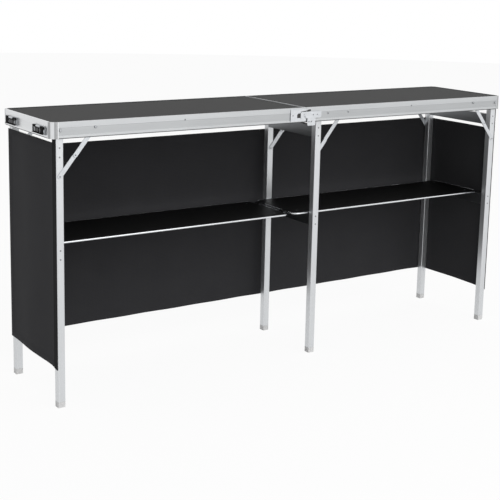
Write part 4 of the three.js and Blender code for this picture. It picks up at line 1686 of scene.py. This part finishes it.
    def sheet(self, panel: Panel) -> bpy.types.Object:
        """Weave a panel as a closed thin sheet whose hems are turned double.

        Args:
            panel: Its description.

        Returns:
            The cloth.
        """
        shares_s, shares_t = (self.with_hems(side) for side in (panel.width, panel.length))

        def thickness(s: float, t: float) -> float:
            """The cloth's thickness at a share of its width and height.

            Args:
                s: Share of the width.
                t: Share of the height.

            Returns:
                The thickness.
            """
            edge = min(s * panel.width, (1 - s) * panel.width, t * panel.length, (1 - t) * panel.length)
            return (self.hem_mm if edge < self.hem_width else self.thick_mm) * MM

        return self.shell(f"{panel.node}_cloth", panel, shares_s, shares_t, thickness, self.finishes.cloth)

    def with_hems(self, side: float) -> list[float]:
        """Even shares of a side, with extra ones at the inner edge of each hem.

        Args:
            side: Length of the side.

        Returns:
            Rising shares from 0 to 1.
        """
        count = max(2, round(side / self.step))
        hem = self.hem_width / side
        edge = self.hem_turn * hem
        turns = [hem - edge, hem + edge, 1 - hem - edge, 1 - hem + edge]
        even = [i / count for i in range(count + 1)]
        kept = [e for e in even if all(abs(e - t) > self.hem_clear / count for t in turns)]
        return sorted(kept + turns)

    def shell(self, name: str, panel: Panel, shares_s: Sequence[float], shares_t: Sequence[float],
              thickness: Callable[[float, float], float], material: bpy.types.Material) -> bpy.types.Object:
        """Close a thin shell over a surface.

        Args:
            name: Name of the piece.
            panel: Panel whose surface it follows.
            shares_s: Shares of the width.
            shares_t: Shares of the height.
            thickness: Its thickness at each place.
            material: Its finish.

        Returns:
            The piece, with a UV map in metres of cloth.
        """
        shape = bmesh.new()
        chart = shape.loops.layers.uv.new("cloth")
        flat: dict[bmesh.types.BMVert, Point2] = {}
        rims = []
        for way in (-0.5, 0.5):
            grid = []
            for t in shares_t:
                row = []
                for s in shares_s:
                    spot, out = panel.surface(s, t)
                    row.append(shape.verts.new(spot + out * way * thickness(s, t)))
                    flat[row[-1]] = (s * panel.width, t * panel.length)
                grid.append(row)
            for lower, upper in zip(grid, grid[1:]):
                for corners in zip(lower, lower[1:], upper[1:], upper):
                    shape.faces.new(corners)
            rims.append(grid[0] + [row[-1] for row in grid[1:]] + grid[-1][-2::-1]
                        + [row[0] for row in grid[-2:0:-1]])
        near, far = rims
        for index, vertex in enumerate(near):
            ahead = (index + 1) % len(near)
            shape.faces.new((vertex, near[ahead], far[ahead], far[index]))
        bmesh.ops.recalc_face_normals(shape, faces=shape.faces)
        for face in shape.faces:
            face.smooth = True
            for loop in face.loops:
                loop[chart].uv = flat[loop.vert]
        piece = to_object(name, shape, material)
        piece.data.set_sharp_from_angle(angle=math.radians(self.crisp_angle))
        return piece

    def strip(self, name: str, panel: Panel, width: float) -> bpy.types.Object:
        """Weave a narrow tape along one edge of a surface.

        Args:
            name: Name of the piece.
            panel: The surface it follows.
            width: Its width.

        Returns:
            The tape.
        """
        share = width / panel.width
        rows = max(2, round(panel.length / self.step))

        def thickness(s: float, t: float) -> float:
            """The tape's thickness, which is the same all over."""
            return self.tape_mm * MM

        return self.shell(name, panel, [share * i / self.tape_steps for i in range(self.tape_steps + 1)],
                          [i / rows for i in range(rows + 1)], thickness, self.finishes.tape)

    def tape(self, panel: Panel, rail: float) -> bpy.types.Object:
        """Lay a strip of tape over a side panel's front edge, where it sticks to the leg, up to the rail.

        Args:
            panel: The side panel.
            rail: Height of the rails' lower face.

        Returns:
            The tape.
        """
        lift = (self.hem_mm + self.tape_mm) / 2 * MM
        rise = rail - self.tape_gap_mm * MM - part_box(panel.node)[1].z

        def over(s: float, t: float) -> tuple[Vector, Vector]:
            """Follow the panel's outer face, stretched up to the rail.

            Args:
                s: Share of the width.
                t: Share of the height.

            Returns:
                A point of the tape and the way out of it.
            """
            spot, out = panel.surface(s, t)
            spot.z += rise * t
            return spot + out * lift, out

        return self.strip(f"{panel.node}_tape", replace(panel, surface=over), self.tape_width)

    def hanger(self, panel: Panel, rail: float, leg: str, x: float) -> bpy.types.Object:
        """Hang the rear panel from its rail by a short tape behind one rear leg.

        Args:
            panel: The rear panel.
            rail: Height of the rails' lower face.
            leg: Which leg frame.
            x: Middle of the tape.

        Returns:
            The tape.
        """
        spot, out = panel.surface((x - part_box(panel.node)[0].x) / panel.width, 1.0)
        start = spot - out * (self.hem_mm + self.tape_mm) / 2 * MM
        start -= Vector((self.hanger_width / 2, 0, self.hanger_lap))
        length = rail - start.z

        def straight(s: float, t: float) -> tuple[Vector, Vector]:
            """A point of the tape and the way out of it."""
            return start + Vector((s * self.hanger_width, 0, t * length)), out

        lap = Panel(panel.node, self.hanger_width, length, straight)
        return self.strip(f"{panel.node}_hanger_{leg}", lap, self.hanger_width)

    def stitches(self, panel: Panel) -> bpy.types.Object:
        """Run a line of stitches round the hems, on the outer face.

        Args:
            panel: The panel.

        Returns:
            The stitches.
        """
        s_in, t_in = (self.stitch_place * self.hem_width / side for side in (panel.width, panel.length))
        corners = [(s_in, t_in), (1 - s_in, t_in), (1 - s_in, 1 - t_in), (s_in, 1 - t_in)]
        lift = (self.hem_mm / 2 + self.stitch_lift_mm) * MM
        spots = []
        for (s0, t0), (s1, t1) in zip(corners, corners[1:] + corners[:1]):
            run = math.hypot((s1 - s0) * panel.width, (t1 - t0) * panel.length)
            count = max(2, round(run / self.step))
            for index in range(count):
                share = index / count
                spot, out = panel.surface(s0 + (s1 - s0) * share, t0 + (t1 - t0) * share)
                spots.append(spot + out * lift)
        return self.stitching.run(f"{panel.node}_stitches", spots)


def main() -> None:
    """Build the studio and every sub-assembly in turn, and report each piece."""
    logging.basicConfig(level=logging.INFO, format="%(message)s")
    Studio().build()
    finishes = FinishSet()
    metalwork = Metalwork(finishes)
    assemblies = {
        "metalwork and boards": metalwork,
        "clasps": Clasps(finishes, metalwork),
        "latch painted shadows": LatchShadows(finishes),
        "board edge shadow": EdgeShadow(finishes),
        "shelf wire": ShelfWire(finishes),
        "skirt": Skirt(finishes, Stitching(finishes)),
        "rivets": Fastening(Rivets(finishes)),
    }
    for name, assembly in assemblies.items():
        known = {piece.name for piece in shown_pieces()}
        assembly.build()
        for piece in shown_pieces():
            if piece.name not in known:
                log.info("%s: %s, %d faces", name, piece.name, len(piece.data.polygons))


if __name__ == "__main__":
    main()
